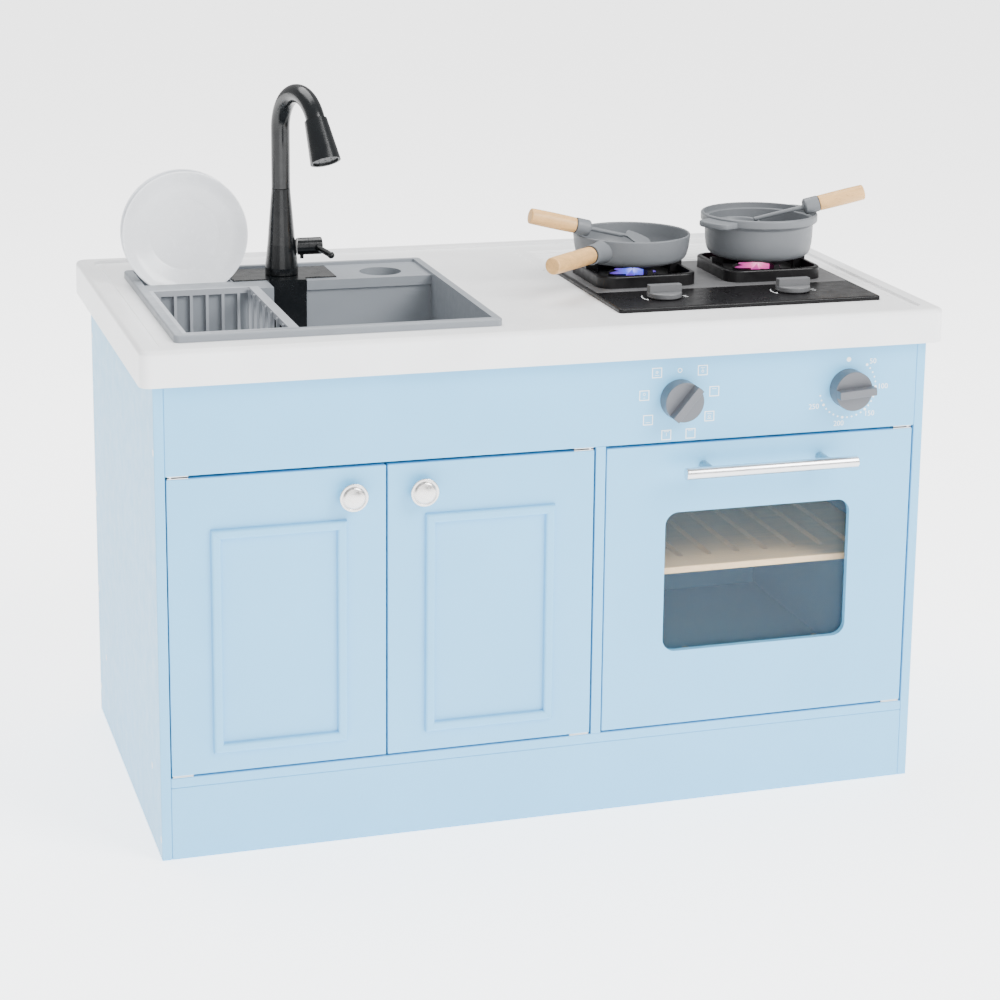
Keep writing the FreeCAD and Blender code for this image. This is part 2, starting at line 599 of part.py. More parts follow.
# ---------------------------------------------------------------- oven shelf
rack_x = ("divider_right + 1", "inner - 1")
rack_y = ("rack_front", "back_face - rack_rear")
plank = board("oven_shelf_blank", rack_x, rack_y, ("rack_top - rack_thick", "rack_top"))
slots = []
for i in range(-4, 5):
    x = f"(dial_centre + {i} * rack_slot_pitch)"
    first, last = "rack_front + rack_slot_margin", "back_face - rack_rear - rack_slot_margin"
    deep = ("rack_top - rack_thick - 1", "rack_top + 1")
    slot = box(f"slot_{i + 4}", (f"{x} - rack_slot / 2", f"{x} + rack_slot / 2"),
               (first, last), deep)
    slots.append(rounded(f"slot_{i + 4}_round", slot, "rack_slot * 0.48", along(Z)))
part("oven_shelf", cut("oven_shelf", plank, *slots))
under = ("rack_top - rack_thick - batten", "rack_top - rack_thick")
part("shelf_battens", group("shelf_battens", [
    box("batten_left", ("divider_right", "divider_right + batten"), rack_y, under),
    box("batten_right", ("inner - batten", "inner"), rack_y, under)]))

# ---------------------------------------------------------------- dials
for tag, x in dial_x.items():
    disc = rod(f"{tag}_disc_blank", "-y", (x, "(-0.4)", "dial_height"), "dial_radius",
               "dial_depth - dial_bar_depth")
    disc = rounded(f"{tag}_disc", disc, "dial_soft",
                   facing(Y, val("front_y - 0.4 - dial_depth + dial_bar_depth")))
    grip = doc.addObject("Part::Box", f"{tag}_grip")
    for prop, size in (("Length", "dial_bar"), ("Width", "dial_bar_depth"),
                       ("Height", "dial_radius * 2")):
        grip.setExpression(prop, ex(size))
    turn = Rotation(Y, val(f"{tag}_turn"))
    corner = turn.multVec(Vector(val("dial_bar") / -2, 0, -val("dial_radius")))
    at(grip, f"{x} + ({corner.x})", "(-dial_depth - 0.4)", f"dial_height + ({corner.z})", turn)
    limit = rod(f"{tag}_limit", "-y", (x, "(-0.4)", "dial_height"), "dial_radius", "dial_depth")
    stem = rod(f"{tag}_stem", "y", (x, "(-2)", "dial_height"), "spindle_radius", "board + 8")
    collar = rod(f"{tag}_collar", "y", (x, "(board + 0.4)", "dial_height"), "spindle_radius + 3",
                 "3")
    grip = rounded(f"{tag}_grip_soft", meet(f"{tag}_bar", grip, limit), "dial_soft",
                   facing(Y, val("front_y - 0.4 - dial_depth")))
    knob = fuse(f"{tag}_knob", disc, grip, stem, collar)
    part(f"{tag}_knob", knob)

# ---------------------------------------------------------------- worktop
top_x = ("-half - top_side", "half + top_side")
top_y = ("-top_front", "cabinet_depth + top_back")
slab = rounded("top_slab", box("top_block", top_x, top_y, ("cabinet_height", "top_z")),
               "top_corner", along(Z))
slab = rounded("top_slab_soft", slab, "top_round", facing(Z, val("top_z")))
dish = box("top_dish_block", ("-half - top_side + top_rim", "half + top_side - top_rim"),
           ("-top_front + top_rim", "cabinet_depth + top_back - top_rim"),
           ("deck_z", "top_z + 1"))
under_z = ("cabinet_height - 1", "deck_z - top_wall")
hollow = box("top_hollow", ("-half - top_side + top_wall", "half + top_side - top_wall"),
             ("-top_front + top_wall", "cabinet_depth + top_back - top_wall"), under_z)
rib_z = ("cabinet_height", "deck_z - top_wall + 1")
ribs = [
    box("top_rib_left", ("-half", "-inner"), ("0", "cabinet_depth"), rib_z),
    box("top_rib_right", ("inner", "half"), ("0", "cabinet_depth"), rib_z),
    box("top_rib_front", ("-half", "half"), ("0", "board"), rib_z),
    box("top_rib_back", ("-half", "half"), ("back_face", "back_face + board"), rib_z),
    box("top_rib_middle", ("divider_left", "divider_right"), ("0", "back_face"), rib_z),
]
hob_x = ("hob_centre - hob_width / 2", "hob_centre + hob_width / 2")
sink_cut = box("sink_cutout", ("sink_in - sink_wall - 1", "sink_out + sink_wall + 1"),
               ("sink_near - sink_wall - 1", "sink_far + sink_wall + 1"),
               ("cabinet_height - 2", "top_z + 2"))
hob_cut = box("hob_cutout", (f"{hob_x[0]} + case_inset - 1", f"{hob_x[1]} - case_inset + 1"),
              ("hob_front + case_inset - 1", "hob_back - case_inset + 1"),
              ("cabinet_height - 2", "top_z + 2"))
shell = cut("top_shell", slab, rounded("top_dish_soft", dish, "top_corner", along(Z)), hollow)
part("worktop", cut("worktop", fuse("top_with_ribs", shell, *ribs), sink_cut, hob_cut))

# ---------------------------------------------------------------- sink
rim = box("sink_rim_block", ("sink_left", "sink_right"), ("sink_front", "sink_back"),
          ("deck_z", "sink_top"))
rim = rounded("sink_rim_round", rim, "sink_corner", along(Z))
rim = rounded("sink_rim_soft", rim, "2", facing(Z, val("sink_top")))
bowl_x = ("sink_in - sink_wall", "sink_out + sink_wall")
bowl_y = ("sink_near - sink_wall", "sink_far + sink_wall")
block = box("sink_block", bowl_x, bowl_y, ("sink_floor - sink_wall", "deck_z"))
over = "sink_top + 1"
pockets = [
    box("sink_recess", ("sink_in", "sink_out"), ("sink_near", "sink_far"), ("sink_deck", over)),
    box("bowl_right", ("pump_box_left", "sink_out"), ("sink_near", "deck_front + sink_wall"),
        ("sink_floor", "sink_deck - deck_lip")),
    box("bowl_right_mouth", ("pump_box_left", "sink_out"), ("sink_near", "deck_front"),
        ("sink_floor", over)),
    box("bowl_left", ("sink_in", "pump_box_left + 0.1"), ("sink_near", "deck_front_left"),
        ("sink_floor", over)),
    box("pump_pocket", ("pump_box_left", "pump_box_right"), ("deck_front - 1", "pump_box_back"),
        ("sink_floor", over)),
    box("faucet_seat_pocket", ("faucet_plate_left", "faucet_plate_right"),
        ("faucet_plate_front", "faucet_plate_back"), ("faucet_seat", over)),
    box("plate_well", ("sink_in", "plate_well_right"), ("plate_well_front", "sink_far - well_back"),
        ("well_floor", over)),
    box("hollow_right", ("pump_box_right + sink_wall", "sink_out"),
        ("deck_front + sink_wall * 2", "sink_far"),
        ("sink_floor - sink_wall - 1", "faucet_seat - sink_wall")),
    box("hollow_left", ("sink_in", "pump_box_left - sink_wall"),
        ("deck_front_left + sink_wall", "sink_far"),
        ("sink_floor - sink_wall - 1", "well_floor - sink_wall")),
    box("hollow_ledge", ("sink_in", "pump_box_left - sink_wall"),
        ("deck_front_left + sink_wall", "plate_well_front - sink_wall"),
        ("well_floor - sink_wall - 1", "faucet_seat - sink_wall")),
]
basin = cut("sink_shell", fuse("sink_whole", rim, block), *pockets)
cup = rod("cup_wall", "z", ("cup_centre", "cup_back", "sink_deck - cup_drop"),
          "cup_radius + sink_wall", "cup_drop")
cup_bore = rod("cup_bore", "z", ("cup_centre", "cup_back", "sink_deck - cup_drop + sink_wall"),
               "cup_radius", "cup_drop")
part("sink_basin", cut("sink_basin", fuse("sink_with_cup", basin, cup), cup_bore))

# ---------------------------------------------------------------- faucet
gap = "board_gap * 3"
cover = box("faucet_cover", (f"faucet_plate_left + {gap}", f"faucet_plate_right - {gap}"),
            (f"faucet_plate_front + {gap}", f"faucet_plate_back - {gap}"),
            ("faucet_seat", "faucet_base"))
cover = rounded("faucet_cover_soft", cover, "edge_round", facing(Z, val("faucet_base")))
tower = box("pump_tower", (f"pump_box_left + {gap}", f"pump_box_right - {gap}"),
            ("deck_front + 0.5", f"pump_box_back - {gap}"), ("sink_floor", "faucet_base"))
tower_in = box("pump_tower_inside", (f"pump_box_left + {gap} + 2", f"pump_box_right - {gap} - 2"),
               ("deck_front + 2.5", f"pump_box_back - {gap} - 2"),
               ("sink_floor - 1", "faucet_seat"))
intake = [box(f"intake_{i}", (f"faucet_x - 14 + {i} * 8", f"faucet_x - 10 + {i} * 8"),
              ("deck_front - 1", "deck_front + 4"), ("sink_floor - 1", "sink_floor + 12"))
          for i in range(4)]
hose_hole = rod("hose_hole", "z", ("faucet_x", "faucet_back", "(faucet_seat - 5)"),
                "hose_radius + 0.3", "15")
part("faucet_deck", cut("faucet_deck", fuse("faucet_deck_whole", cover, tower), tower_in,
                        hose_hole, *intake))
pump = rod("pump_case", "z", ("faucet_x", "faucet_back", "sink_floor + 1"), "pump_radius",
           "pump_height")
part("water_pump", rounded("water_pump", pump, "2"))
hose_foot = "sink_floor + 1 + pump_height"
hose = rod("hose_outside", "z", ("faucet_x", "faucet_back", hose_foot), "hose_radius",
           "neck_z - sink_floor - 1 - pump_height - spout_shank - 1")
hose_in = rod("hose_inside", "z", ("faucet_x", "faucet_back", hose_foot), "hose_bore",
              "neck_z")
part("supply_tube", cut("supply_tube", hose, hose_in))

column = turned("column_turned", [
    ("neck_bore", "0"), ("column_radius - 0.8", "0"), ("column_radius", "0.8"),
    ("column_radius", "column_foot"), ("column_radius - 2.7", "column_mid"),
    ("neck_radius + 2.4", "column_waist"), ("neck_radius", "column_height - 0.6"),
    ("neck_radius - 0.6", "column_height"),
    ("neck_bore", "column_height")], ("faucet_x", "faucet_back", "faucet_base"))
part("faucet_column", column)
core = rod("column_core", "z", ("faucet_x", "faucet_back", "faucet_base"),
           "column_radius + 0.2", "column_height")
valve = rod("valve_barrel", "x", ("faucet_x", "faucet_back", "valve_z"), "valve_radius",
            "valve_reach")
nub = rod("valve_nub", "-z", ("faucet_x + valve_reach - 6", "faucet_back", "valve_z"), "2",
          "valve_radius + 4")
valve_bore = rod("valve_bore", "x", ("faucet_x + valve_reach - 8", "faucet_back", "valve_z"),
                 "spindle_radius + fit_gap", "20")
doc.recompute()
part("valve_body", cut("valve_body", fuse("valve_whole", valve, nub), core, valve_bore))

cap_x = "faucet_x + valve_reach + joint_gap"
cap = rod("lever_cap_blank", "x", (cap_x, "faucet_back", "valve_z"), "valve_radius", "cap_length")
cap = rounded("lever_cap", cap, "edge_round", facing(X, val(cap_x + " + cap_length")))
lever_aim = Rotation(Z, Vector(0.17, -0.98, -0.05))
lever = rod("lever_rod", lever_aim, (f"{cap_x} + cap_length / 2", "faucet_back", "valve_z"),
            "lever_radius", "lever_length")
lever_tip = doc.addObject("Part::Sphere", "lever_tip")
lever_tip.setExpression("Radius", ex("lever_radius * 1.15"))
tip = lever_aim.multVec(Z) * val("lever_length")
at(lever_tip, f"{cap_x} + cap_length / 2 + {tip.x}", f"faucet_back + ({tip.y})",
   f"valve_z + ({tip.z})")
spindle = rod("lever_spindle", "-x", (cap_x, "faucet_back", "valve_z"), "spindle_radius",
              "joint_gap + 7")
part("faucet_lever", fuse("faucet_lever", cap, lever, lever_tip, spindle))

# The spout is drawn leading to -y about the origin, then turned and stood on its column.
swing = Rotation(Z, val("spout_turn"))


def on_neck(obj):
    """Stand a piece drawn about the origin on the column, turned to the spout's heading."""
    return at(obj, "faucet_x", "faucet_back", "neck_z", swing)


def local_rod(name, radius, low, high):
    """An upright round bar about the origin."""
    obj = doc.addObject("Part::Cylinder", name)
    obj.setExpression("Radius", ex(radius))
    obj.setExpression("Height", ex(f"({high}) - ({low})"))
    obj.setExpression("Placement.Base.z", ex(low))
    return obj


def bend(name, radius):
    """The gooseneck's arc as part of a ring."""
    obj = doc.addObject("Part::Torus", name)
    obj.setExpression("Radius1", ex("spout_bend"))
    obj.setExpression("Radius2", ex(radius))
    obj.setExpression("Angle3", ex("spout_sweep"))
    obj.Placement = Placement(Vector(), Rotation(Vector(1, 1, 1), 120))
    obj.setExpression("Placement.Base.y", ex("-spout_bend"))
    obj.setExpression("Placement.Base.z", ex("spout_rise"))
    return obj


pipe = fuse("spout_pipe", local_rod("spout_leg", "neck_radius", "joint_gap", "spout_rise"),
            bend("spout_arc", "neck_radius"),
            local_rod("spout_shank_rod", "neck_bore - fit_gap", "-spout_shank",
                      "joint_gap + 1"))
duct = fuse("spout_duct", local_rod("spout_duct_leg", "neck_bore - 2.5", "-spout_shank - 1",
                                    "spout_rise"), bend("spout_duct_arc", "neck_bore - 2.5"))
part("faucet_spout", on_neck(cut("faucet_spout", pipe, duct)))

sweep = math.radians(val("spout_sweep"))
end_y = -val("spout_bend") * (1 - math.cos(sweep))
end_z = val("spout_rise") + val("spout_bend") * math.sin(sweep)
head_way = Vector(0, -math.sin(sweep), math.cos(sweep))
head_aim = Rotation(Z, head_way)


def head_cone(name, start, length, radius, end_radius):
    """A taper on the spray head's axis, its start and length measured from the spout's end."""
    obj = doc.addObject("Part::Cone", name)
    obj.setExpression("Radius1", ex(radius))
    obj.setExpression("Radius2", ex(end_radius))
    obj.setExpression("Height", ex(length))
    foot = Vector(0, end_y, end_z) + head_way * start
    obj.Placement = Placement(foot, head_aim)
    return obj


face_at = val("head_length")
seam = val("joint_gap")
sleeve = head_cone("head_outside", seam, "head_length - joint_gap", "head_top_radius",
                   "head_face_radius")
cavity = head_cone("head_inside", 5, "head_length", "head_top_radius - 4",
                   "head_face_radius - 2")
part("spray_head", on_neck(cut("spray_head", sleeve, cavity)))
disc = head_cone("nozzle_disc", face_at - 4, "2.5", "head_face_radius - 3.5",
                 "head_face_radius - 3.5")
jets = []
for i in range(7):
    jet = head_cone(f"jet_{i}", face_at - 8, "10", "1.1", "1.1")
    if i:
        spoke = Rotation(Z, 60 * i).multVec(Vector(7.5, 0, 0))
        jet.Placement = Placement(jet.Placement.Base + head_aim.multVec(spoke), head_aim)
    jets.append(jet)
part("nozzle_plate", on_neck(cut("nozzle_plate", disc, *jets)))

# ---------------------------------------------------------------- dish rack
basket_x = ("sink_in + basket_gap", "basket_right")
basket_y = ("sink_near + basket_gap", "deck_front_left - basket_gap")
basket_top = "sink_deck + 2.5"
ring = cut("basket_ring", box("basket_ring_block", basket_x, basket_y,
                              (f"{basket_top} - 6", basket_top)),
           box("basket_ring_hole", ("sink_in + basket_gap + 4", "basket_right - basket_bar"),
               ("sink_near + basket_gap + 4", "deck_front_left - basket_gap - 4"),
               (f"{basket_top} - 7", f"{basket_top} + 1")))
base_z = (f"{basket_top} - basket_depth", f"{basket_top} - basket_depth + basket_rib")
wall_z = (f"{basket_top} - basket_depth", f"{basket_top} - 1")
wires = []
for i in range(6):
    x = f"(basket_first + {i} * basket_pitch_x)"
    x_span = (f"{x} - basket_rib / 2", f"{x} + basket_rib / 2")
    near, far = "sink_near + basket_gap + 1", "deck_front_left - basket_gap - 1"
    wires += [box(f"rib_floor_{i}", x_span, (near, far), base_z),
              box(f"rib_back_{i}", x_span, (f"{far} - basket_rib", far), wall_z),
              box(f"rib_front_{i}", x_span, (near, f"{near} + basket_rib"), wall_z)]
for i in range(7):
    y = f"(deck_front_left - 8.5 - {i} * basket_pitch_y)"
    y_span = (f"{y} - basket_rib / 2", f"{y} + basket_rib / 2")
    low, high = "sink_in + basket_gap + 1", "basket_right - basket_bar + 1"
    wires += [box(f"tie_floor_{i}", (low, high), y_span, base_z),
              box(f"tie_left_{i}", (low, f"{low} + basket_rib"), y_span, wall_z),
              box(f"tie_right_{i}", (f"{high} - basket_rib", high), y_span, wall_z)]
part("dish_rack", fuse("dish_rack", ring, *wires))

# ---------------------------------------------------------------- plates
lean = val("plate_lean")
stand = Rotation(X, 90 - lean)
low_edge = stand.multVec(Vector(0, val("plate_radius"), 0))
for i, tag in enumerate(("front", "back")):
    plate = turned(f"plate_{tag}", [
        ("0", "0"), ("plate_flat", "0"), ("plate_radius", "plate_deep"),
        ("plate_radius - 0.6", "plate_deep + 1.6"), ("plate_radius - 2", "plate_deep + 1.8"),
        ("plate_flat - 0.5", "plate_wall"), ("0", "plate_wall")])
    plate.Placement = Placement(Vector(), stand)
    at(plate, "plate_x", f"plate_first + plate_deep + {low_edge.y} + {i} * plate_step",
       f"well_floor + plate_rest + {low_edge.z} - plate_deep * {math.sin(math.radians(lean))}")
    part(f"plate_{tag}", plate)

# ---------------------------------------------------------------- hob
slab = rounded("hob_slab", box("hob_block", hob_x, ("hob_front", "hob_back"),
                               ("deck_z", "hob_top")), "hob_corner", along(Z))
slab = rounded("hob_slab_soft", slab, "hob_edge", facing(Z, val("hob_top")))
burner_x = [f"(hob_centre + burner_shift {sign} burner_pitch / 2)" for sign in ("-", "+")]
knob_x = [f"({x} + knob_shift)" for x in burner_x]
drill = [rod(f"lens_hole_{i}", "z", (x, "burner_back", "(deck_z - 1)"), "lens_stem + 0.2",
             "hob_thick + 2") for i, x in enumerate(burner_x)]
drill += [rod(f"hob_knob_hole_{i}", "z", (x, "hob_knob_back", "(deck_z - 1)"),
              "spindle_radius + fit_gap", "hob_thick + 2") for i, x in enumerate(knob_x)]
part("hob_plate", cut("hob_plate", slab, *drill))

grates = []
for i, x in enumerate(burner_x):
    span = [(f"{x} - grate_size / 2 + {a}", f"{x} + grate_size / 2 - {a}")
            for a in ("0", "grate_wall")]
    deep = [(f"burner_back - grate_size / 2 + {a}", f"burner_back + grate_size / 2 - {a}")
            for a in ("0", "grate_wall")]
    outer = rounded(f"grate_{i}_outer", box(f"grate_{i}_block", span[0], deep[0],
                    ("hob_top", "hob_top + grate_high")), "grate_corner", along(Z))
    outer = rounded(f"grate_{i}_soft", outer, "2", facing(Z, val("hob_top + grate_high")))
    well = rounded(f"grate_{i}_well", box(f"grate_{i}_well_block", span[1], deep[1],
                   ("hob_top + grate_floor", "hob_top + grate_high + 1")),
                   "grate_corner - grate_wall", along(Z))
    eye = rod(f"grate_{i}_eye", "z", (x, "burner_back", "(hob_top - 1)"), "lens_stem + 0.2", "9")
    tray = cut(f"grate_{i}_tray", outer, well, eye)
    tabs = []
    for k, (ax, ay) in enumerate(((0, -1), (0, 1), (-1, 0), (1, 0))):
        reach = ("grate_size / 2 - grate_wall - grate_tab", "grate_size / 2 - 0.5")
        if ax:
            tx = [f"{x} + {ax} * ({r})" for r in reach][::ax]
            ty = ["burner_back - 3", "burner_back + 3"]
        else:
            tx = [f"{x} - 3", f"{x} + 3"]
            ty = [f"burner_back + {ay} * ({r})" for r in reach][::ay]
        tabs.append(box(f"grate_{i}_tab_{k}", tx, ty, ("hob_top", "pan_rest")))
    grates.append(fuse(f"grate_{i}", tray, *tabs))
part("burner_grates", group("burner_grates", grates))

for tag, x in zip(("left", "right"), burner_x):
    lens = fuse(f"flame_lens_{tag}",
                rod(f"lens_{tag}_disc", "z", (x, "burner_back", "hob_top + grate_floor"),
                    "lens_radius", "lens_thick"),
                rod(f"lens_{tag}_stem", "z", (x, "burner_back", "(deck_z - 2)"), "lens_stem",
                    "hob_thick + 2 + grate_floor + 1"))
    part(f"flame_lens_{tag}", lens)

for tag, x in zip(("left", "right"), knob_x):
    foot = "hob_top + 0.4"
    knob = fuse(f"hob_knob_{tag}",
                rounded(f"hob_knob_{tag}_disc", rod(f"hob_knob_{tag}_blank", "z",
                        (x, "hob_knob_back", foot), "hob_knob_radius", "hob_knob_disc"), "hob_knob_soft"),
                meet(f"hob_knob_{tag}_bar",
                     box(f"hob_knob_{tag}_grip", (f"{x} - hob_knob_radius",
                                                  f"{x} + hob_knob_radius"),
                         ("hob_knob_back - hob_knob_bar / 2",
                          "hob_knob_back + hob_knob_bar / 2"),
                         (f"{foot} + 2", f"{foot} + hob_knob_high")),
                     rod(f"hob_knob_{tag}_limit", "z", (x, "hob_knob_back", foot),
                         "hob_knob_radius - 0.3", "hob_knob_high")),
                rod(f"hob_knob_{tag}_stem", "-z", (x, "hob_knob_back", f"({foot} + 2)"),
                    "spindle_radius", "hob_thick + 12"))
    part(f"hob_knob_{tag}", knob)

# ---------------------------------------------------------------- electronics
case_x = (f"{hob_x[0]} + case_inset", f"{hob_x[1]} - case_inset")
case_y = ("hob_front + case_inset", "hob_back - case_inset")
case_in = (f"{case_x[0]} + case_wall", f"{case_x[1]} - case_wall")
case_in_y = (f"{case_y[0]} + case_wall", f"{case_y[1]} - case_wall")
hatch_x = ("hob_centre - hatch_wide / 2", "hob_centre + hatch_wide / 2")
hatch_y = ("hob_front + hatch_front", "hob_front + hatch_front + hatch_deep")
case = cut("case_shell", box("case_block", case_x, case_y, ("case_bottom", "case_top")),
           box("case_hollow", case_in, case_in_y, ("case_bottom + case_wall", "case_top + 1")),
           box("case_hatch", hatch_x, hatch_y, ("case_bottom - 1", "case_bottom + 5")))
part("hob_housing", case)
part("battery_cover", box("battery_cover", (f"{hatch_x[0]} + 0.3", f"{hatch_x[1]} - 0.3"),
                          (f"{hatch_y[0]} + 0.3", f"{hatch_y[1]} - 0.3"),
                          ("case_bottom", "case_bottom + case_wall")))
cells = [rod(f"cell_{i}", "x", ("hob_centre - cell_length / 2",
                                f"hatch_middle + {i - 1} * (cell_radius * 2 + 1)",
                                "case_bottom + case_wall + 0.5 + cell_radius"),
             "cell_radius", "cell_length") for i in range(3)]
part("batteries", group("batteries", cells))
board_z = "case_bottom + case_wall + 20"
pcb = box("pcb", (f"{case_in[0]} + 10", f"{case_in[1]} - 10"),
          ("hob_knob_back - 20", "burner_back + 40"), (board_z, f"{board_z} + board_thick"))
lamps = [rod(f"lamp_{i}", "z", (x, "burner_back", f"({board_z} + board_thick)"), "2.5",
             f"deck_z - 2.5 - ({board_z} + board_thick)") for i, x in enumerate(burner_x)]
switches = [rod(f"switch_{i}", "z", (x, "hob_knob_back", f"({board_z} + board_thick)"),
                "spindle_radius * 2", f"deck_z - 13.6 - ({board_z} + board_thick)")
            for i, x in enumerate(knob_x)]
part("circuit_board", group("circuit_board", [pcb, *lamps, *switches]))
part("speaker", rounded("speaker", rod("speaker_can", "z", (
    "hob_centre + speaker_off", "hatch_middle", "case_bottom + case_wall + 0.1"), "speaker_radius",
    "speaker_high"), "1.5"))

# ---------------------------------------------------------------- frying pan
pan_place = (burner_x[0], "burner_back + pan_off", "pan_rest")
pan = turned("pan_bowl", [
    ("0", "0"), ("pan_base", "0", "pan_bend"), ("pan_base + pan_bend", "pan_bend"),
    ("pan_radius", "pan_high - 1"), ("pan_radius - 1.2", "pan_high"),
    ("pan_radius - pan_wall", "pan_high - 1"),
    ("pan_base + pan_bend - pan_wall", "pan_bend", "pan_bend - pan_wall", -1),
    ("pan_base", "pan_wall"), ("0", "pan_wall")], pan_place)
pan_dir = Rotation(Z, val("pan_turn"))
pan_way = pan_dir.multVec(X)


def radial_rod(name, radius, first, last):
    """A round bar that points out from the pan's axis, from one radius to another."""
    start = pan_way * val(first)
    return rod(name, Rotation(Z, pan_way), (
        f"{pan_place[0]} + ({start.x})", f"{pan_place[1]} + ({start.y})",
        "pan_rest + pan_grip_high"), radius, f"({last}) - ({first})")


socket = radial_rod("pan_socket", "socket_radius", "pan_radius - 12", "socket_end")
pan_inside = turned("pan_inside", [
    ("0", "pan_wall"), ("pan_base", "pan_wall", "pan_bend - pan_wall"),
    ("pan_base + pan_bend - pan_wall", "pan_bend"), ("pan_radius - pan_wall", "pan_high - 1"),
    ("pan_radius - pan_wall", "pan_high + 9"), ("0", "pan_high + 9")], pan_place)
dowel = radial_rod("pan_dowel_hole", "dowel_radius", "socket_end - 12", "socket_end + 1")
part("frying_pan", cut("frying_pan", fuse("pan_whole", pan, socket), pan_inside, dowel))
grip = radial_rod("pan_grip_rod", "grip_radius", "socket_end", "socket_end + pan_grip")
grip = rounded("pan_grip_soft", grip, "edge_round")
tenon = radial_rod("pan_tenon", "dowel_radius - fit_gap", "socket_end - 11", "socket_end + 2")
part("frying_pan_handle", fuse("frying_pan_handle", grip, tenon))

# ---------------------------------------------------------------- cooking pot
pot_place = (burner_x[1], "burner_back", "pan_rest")
band = "pot_high - pot_band"
pot = turned("pot_bowl", [
    ("0", "0"), ("pot_radius - pot_bend", "0", "pot_bend"), ("pot_radius", "pot_bend"),
    ("pot_radius", band), ("pot_rim_radius - 0.8", band), ("pot_rim_radius", f"{band} + 0.8"),
    ("pot_rim_radius", "pot_high - 1"), ("pot_rim_radius - 1", "pot_high"),
    ("pot_rim_radius - pot_wall", "pot_high"), ("pot_rim_radius - pot_wall", "pot_high - 6"),
    ("pot_radius - pot_wall", "pot_high - 6"), ("pot_radius - pot_wall", "pot_bend",
                                                "pot_bend - pot_wall", -1),
    ("pot_radius - pot_bend", "pot_wall"), ("0", "pot_wall")], pot_place)
ears = doc.addObject("Part::Box", "pot_ears")
for prop, size in (("Length", "ear_reach * 2"), ("Width", "ear_width"), ("Height", "ear_thick")):
    ears.setExpression(prop, ex(size))
ear_turn = Rotation(Z, val("pot_turn"))
corner = ear_turn.multVec(Vector(-val("ear_reach"), val("ear_width") / -2, 0))
at(ears, f"{pot_place[0]} + ({corner.x})", f"{pot_place[1]} + ({corner.y})",
   f"pan_rest + {band}", ear_turn)
ears = rounded("pot_ears_round", ears, "ear_corner", along(Z))
pot_core = rod("pot_core", "z", (pot_place[0], pot_place[1], "pan_rest + 5"),
               "pot_rim_radius - pot_wall - 0.5", "pot_high")
part("cooking_pot", fuse("cooking_pot", pot, cut("pot_ears_cut", ears, pot_core)))

# ---------------------------------------------------------------- spatula and ladle


def tool(tag, start, aim, grip_way):
    """Handle, ferrule and shaft of a kitchen tool along one line; returns the metal blanks."""
    def along_line(name, radius, first, length):
        spot = grip_way * first
        return rod(name, aim, (f"{start[0]} + ({spot.x})", f"{start[1]} + ({spot.y})",
                               f"{start[2]} + ({spot.z})"), radius, length)
    handle = rounded(f"{tag}_handle_soft", along_line(f"{tag}_grip", "tool_grip_radius", 0,
                                                      "tool_grip"), "edge_round")
    pin = along_line(f"{tag}_tenon", "4 - fit_gap", val("tool_grip") - 1, "11")
    ferrule = cut(f"{tag}_ferrule", along_line(f"{tag}_ferrule_blank", "tool_grip_radius + 0.2",
                                               val("tool_grip"), "tool_ferrule"),
                  along_line(f"{tag}_tenon_hole", "4", val("tool_grip") - 1, "11.2"))
    part(f"{tag}_handle", fuse(f"{tag}_handle", handle, pin))
    shaft_from = val("tool_grip") + val("tool_ferrule") - 1
    shaft = along_line(f"{tag}_shaft", "tool_shaft_radius", shaft_from, f"{tag}_shaft + 1")
    return ferrule, shaft


fall = math.radians(val("spatula_fall"))
spatula_way = Vector(math.cos(fall), 0, -math.sin(fall))
spatula_start = (f"{pan_place[0]} - pan_radius - spatula_out", f"{pan_place[1]} + spatula_side",
                 "pan_rest + spatula_rise")
spatula_metal = tool("spatula", spatula_start, Rotation(Z, spatula_way), spatula_way)
blade = doc.addObject("Part::Box", "spatula_blade_flat")
blade.setExpression("Length", ex("spatula_blade"))
blade.setExpression("Width", ex("spatula_wide"))
blade.setExpression("Height", "2")
reach = spatula_way * (val("tool_grip + tool_ferrule + spatula_shaft") - 2)
blade_turn = Rotation(Y, 20).multiply(Rotation(X, 12))
corner = blade_turn.multVec(Vector(0, val("spatula_wide") / -2, -1))
at(blade, f"{spatula_start[0]} + ({reach.x + corner.x})",
   f"{spatula_start[1]} + ({reach.y + corner.y})",
   f"{spatula_start[2]} + ({reach.z + corner.z})", blade_turn)
part("spatula_blade", fuse("spatula_blade", *spatula_metal,
                           rounded("spatula_blade_round", blade, "0.6")))

fall = math.radians(val("ladle_fall"))
ladle_way = Vector(-math.cos(fall), 0.12, -math.sin(fall)).normalize()
ladle_start = (f"{pot_place[0]} + pot_rim_radius + ladle_out", f"{pot_place[1]} + ladle_side",
               "pan_rest + ladle_rise")
ladle_metal = tool("ladle", ladle_start, Rotation(Z, ladle_way), ladle_way)
reach = ladle_way * (val("tool_grip + tool_ferrule + ladle_shaft") + val("ladle_bowl") - 4)
scoop = turned("ladle_scoop", [
    ("0", "(-ladle_bowl * 0.75)"), ("ladle_bowl * 0.55", "(-ladle_bowl * 0.66)", "ladle_bowl"),
    ("ladle_bowl", "0"), ("ladle_bowl - 1.8", "0"),
    ("ladle_bowl * 0.55 - 1", "(-ladle_bowl * 0.66 + 1.8)"),
    ("0", "(-ladle_bowl * 0.75 + 1.9)")],
    (f"{ladle_start[0]} + ({reach.x})", f"{ladle_start[1]} + ({reach.y})",
     f"{ladle_start[2]} + ({reach.z}) + 3.5"))
part("ladle_bowl", fuse("ladle_bowl", *ladle_metal, scoop))

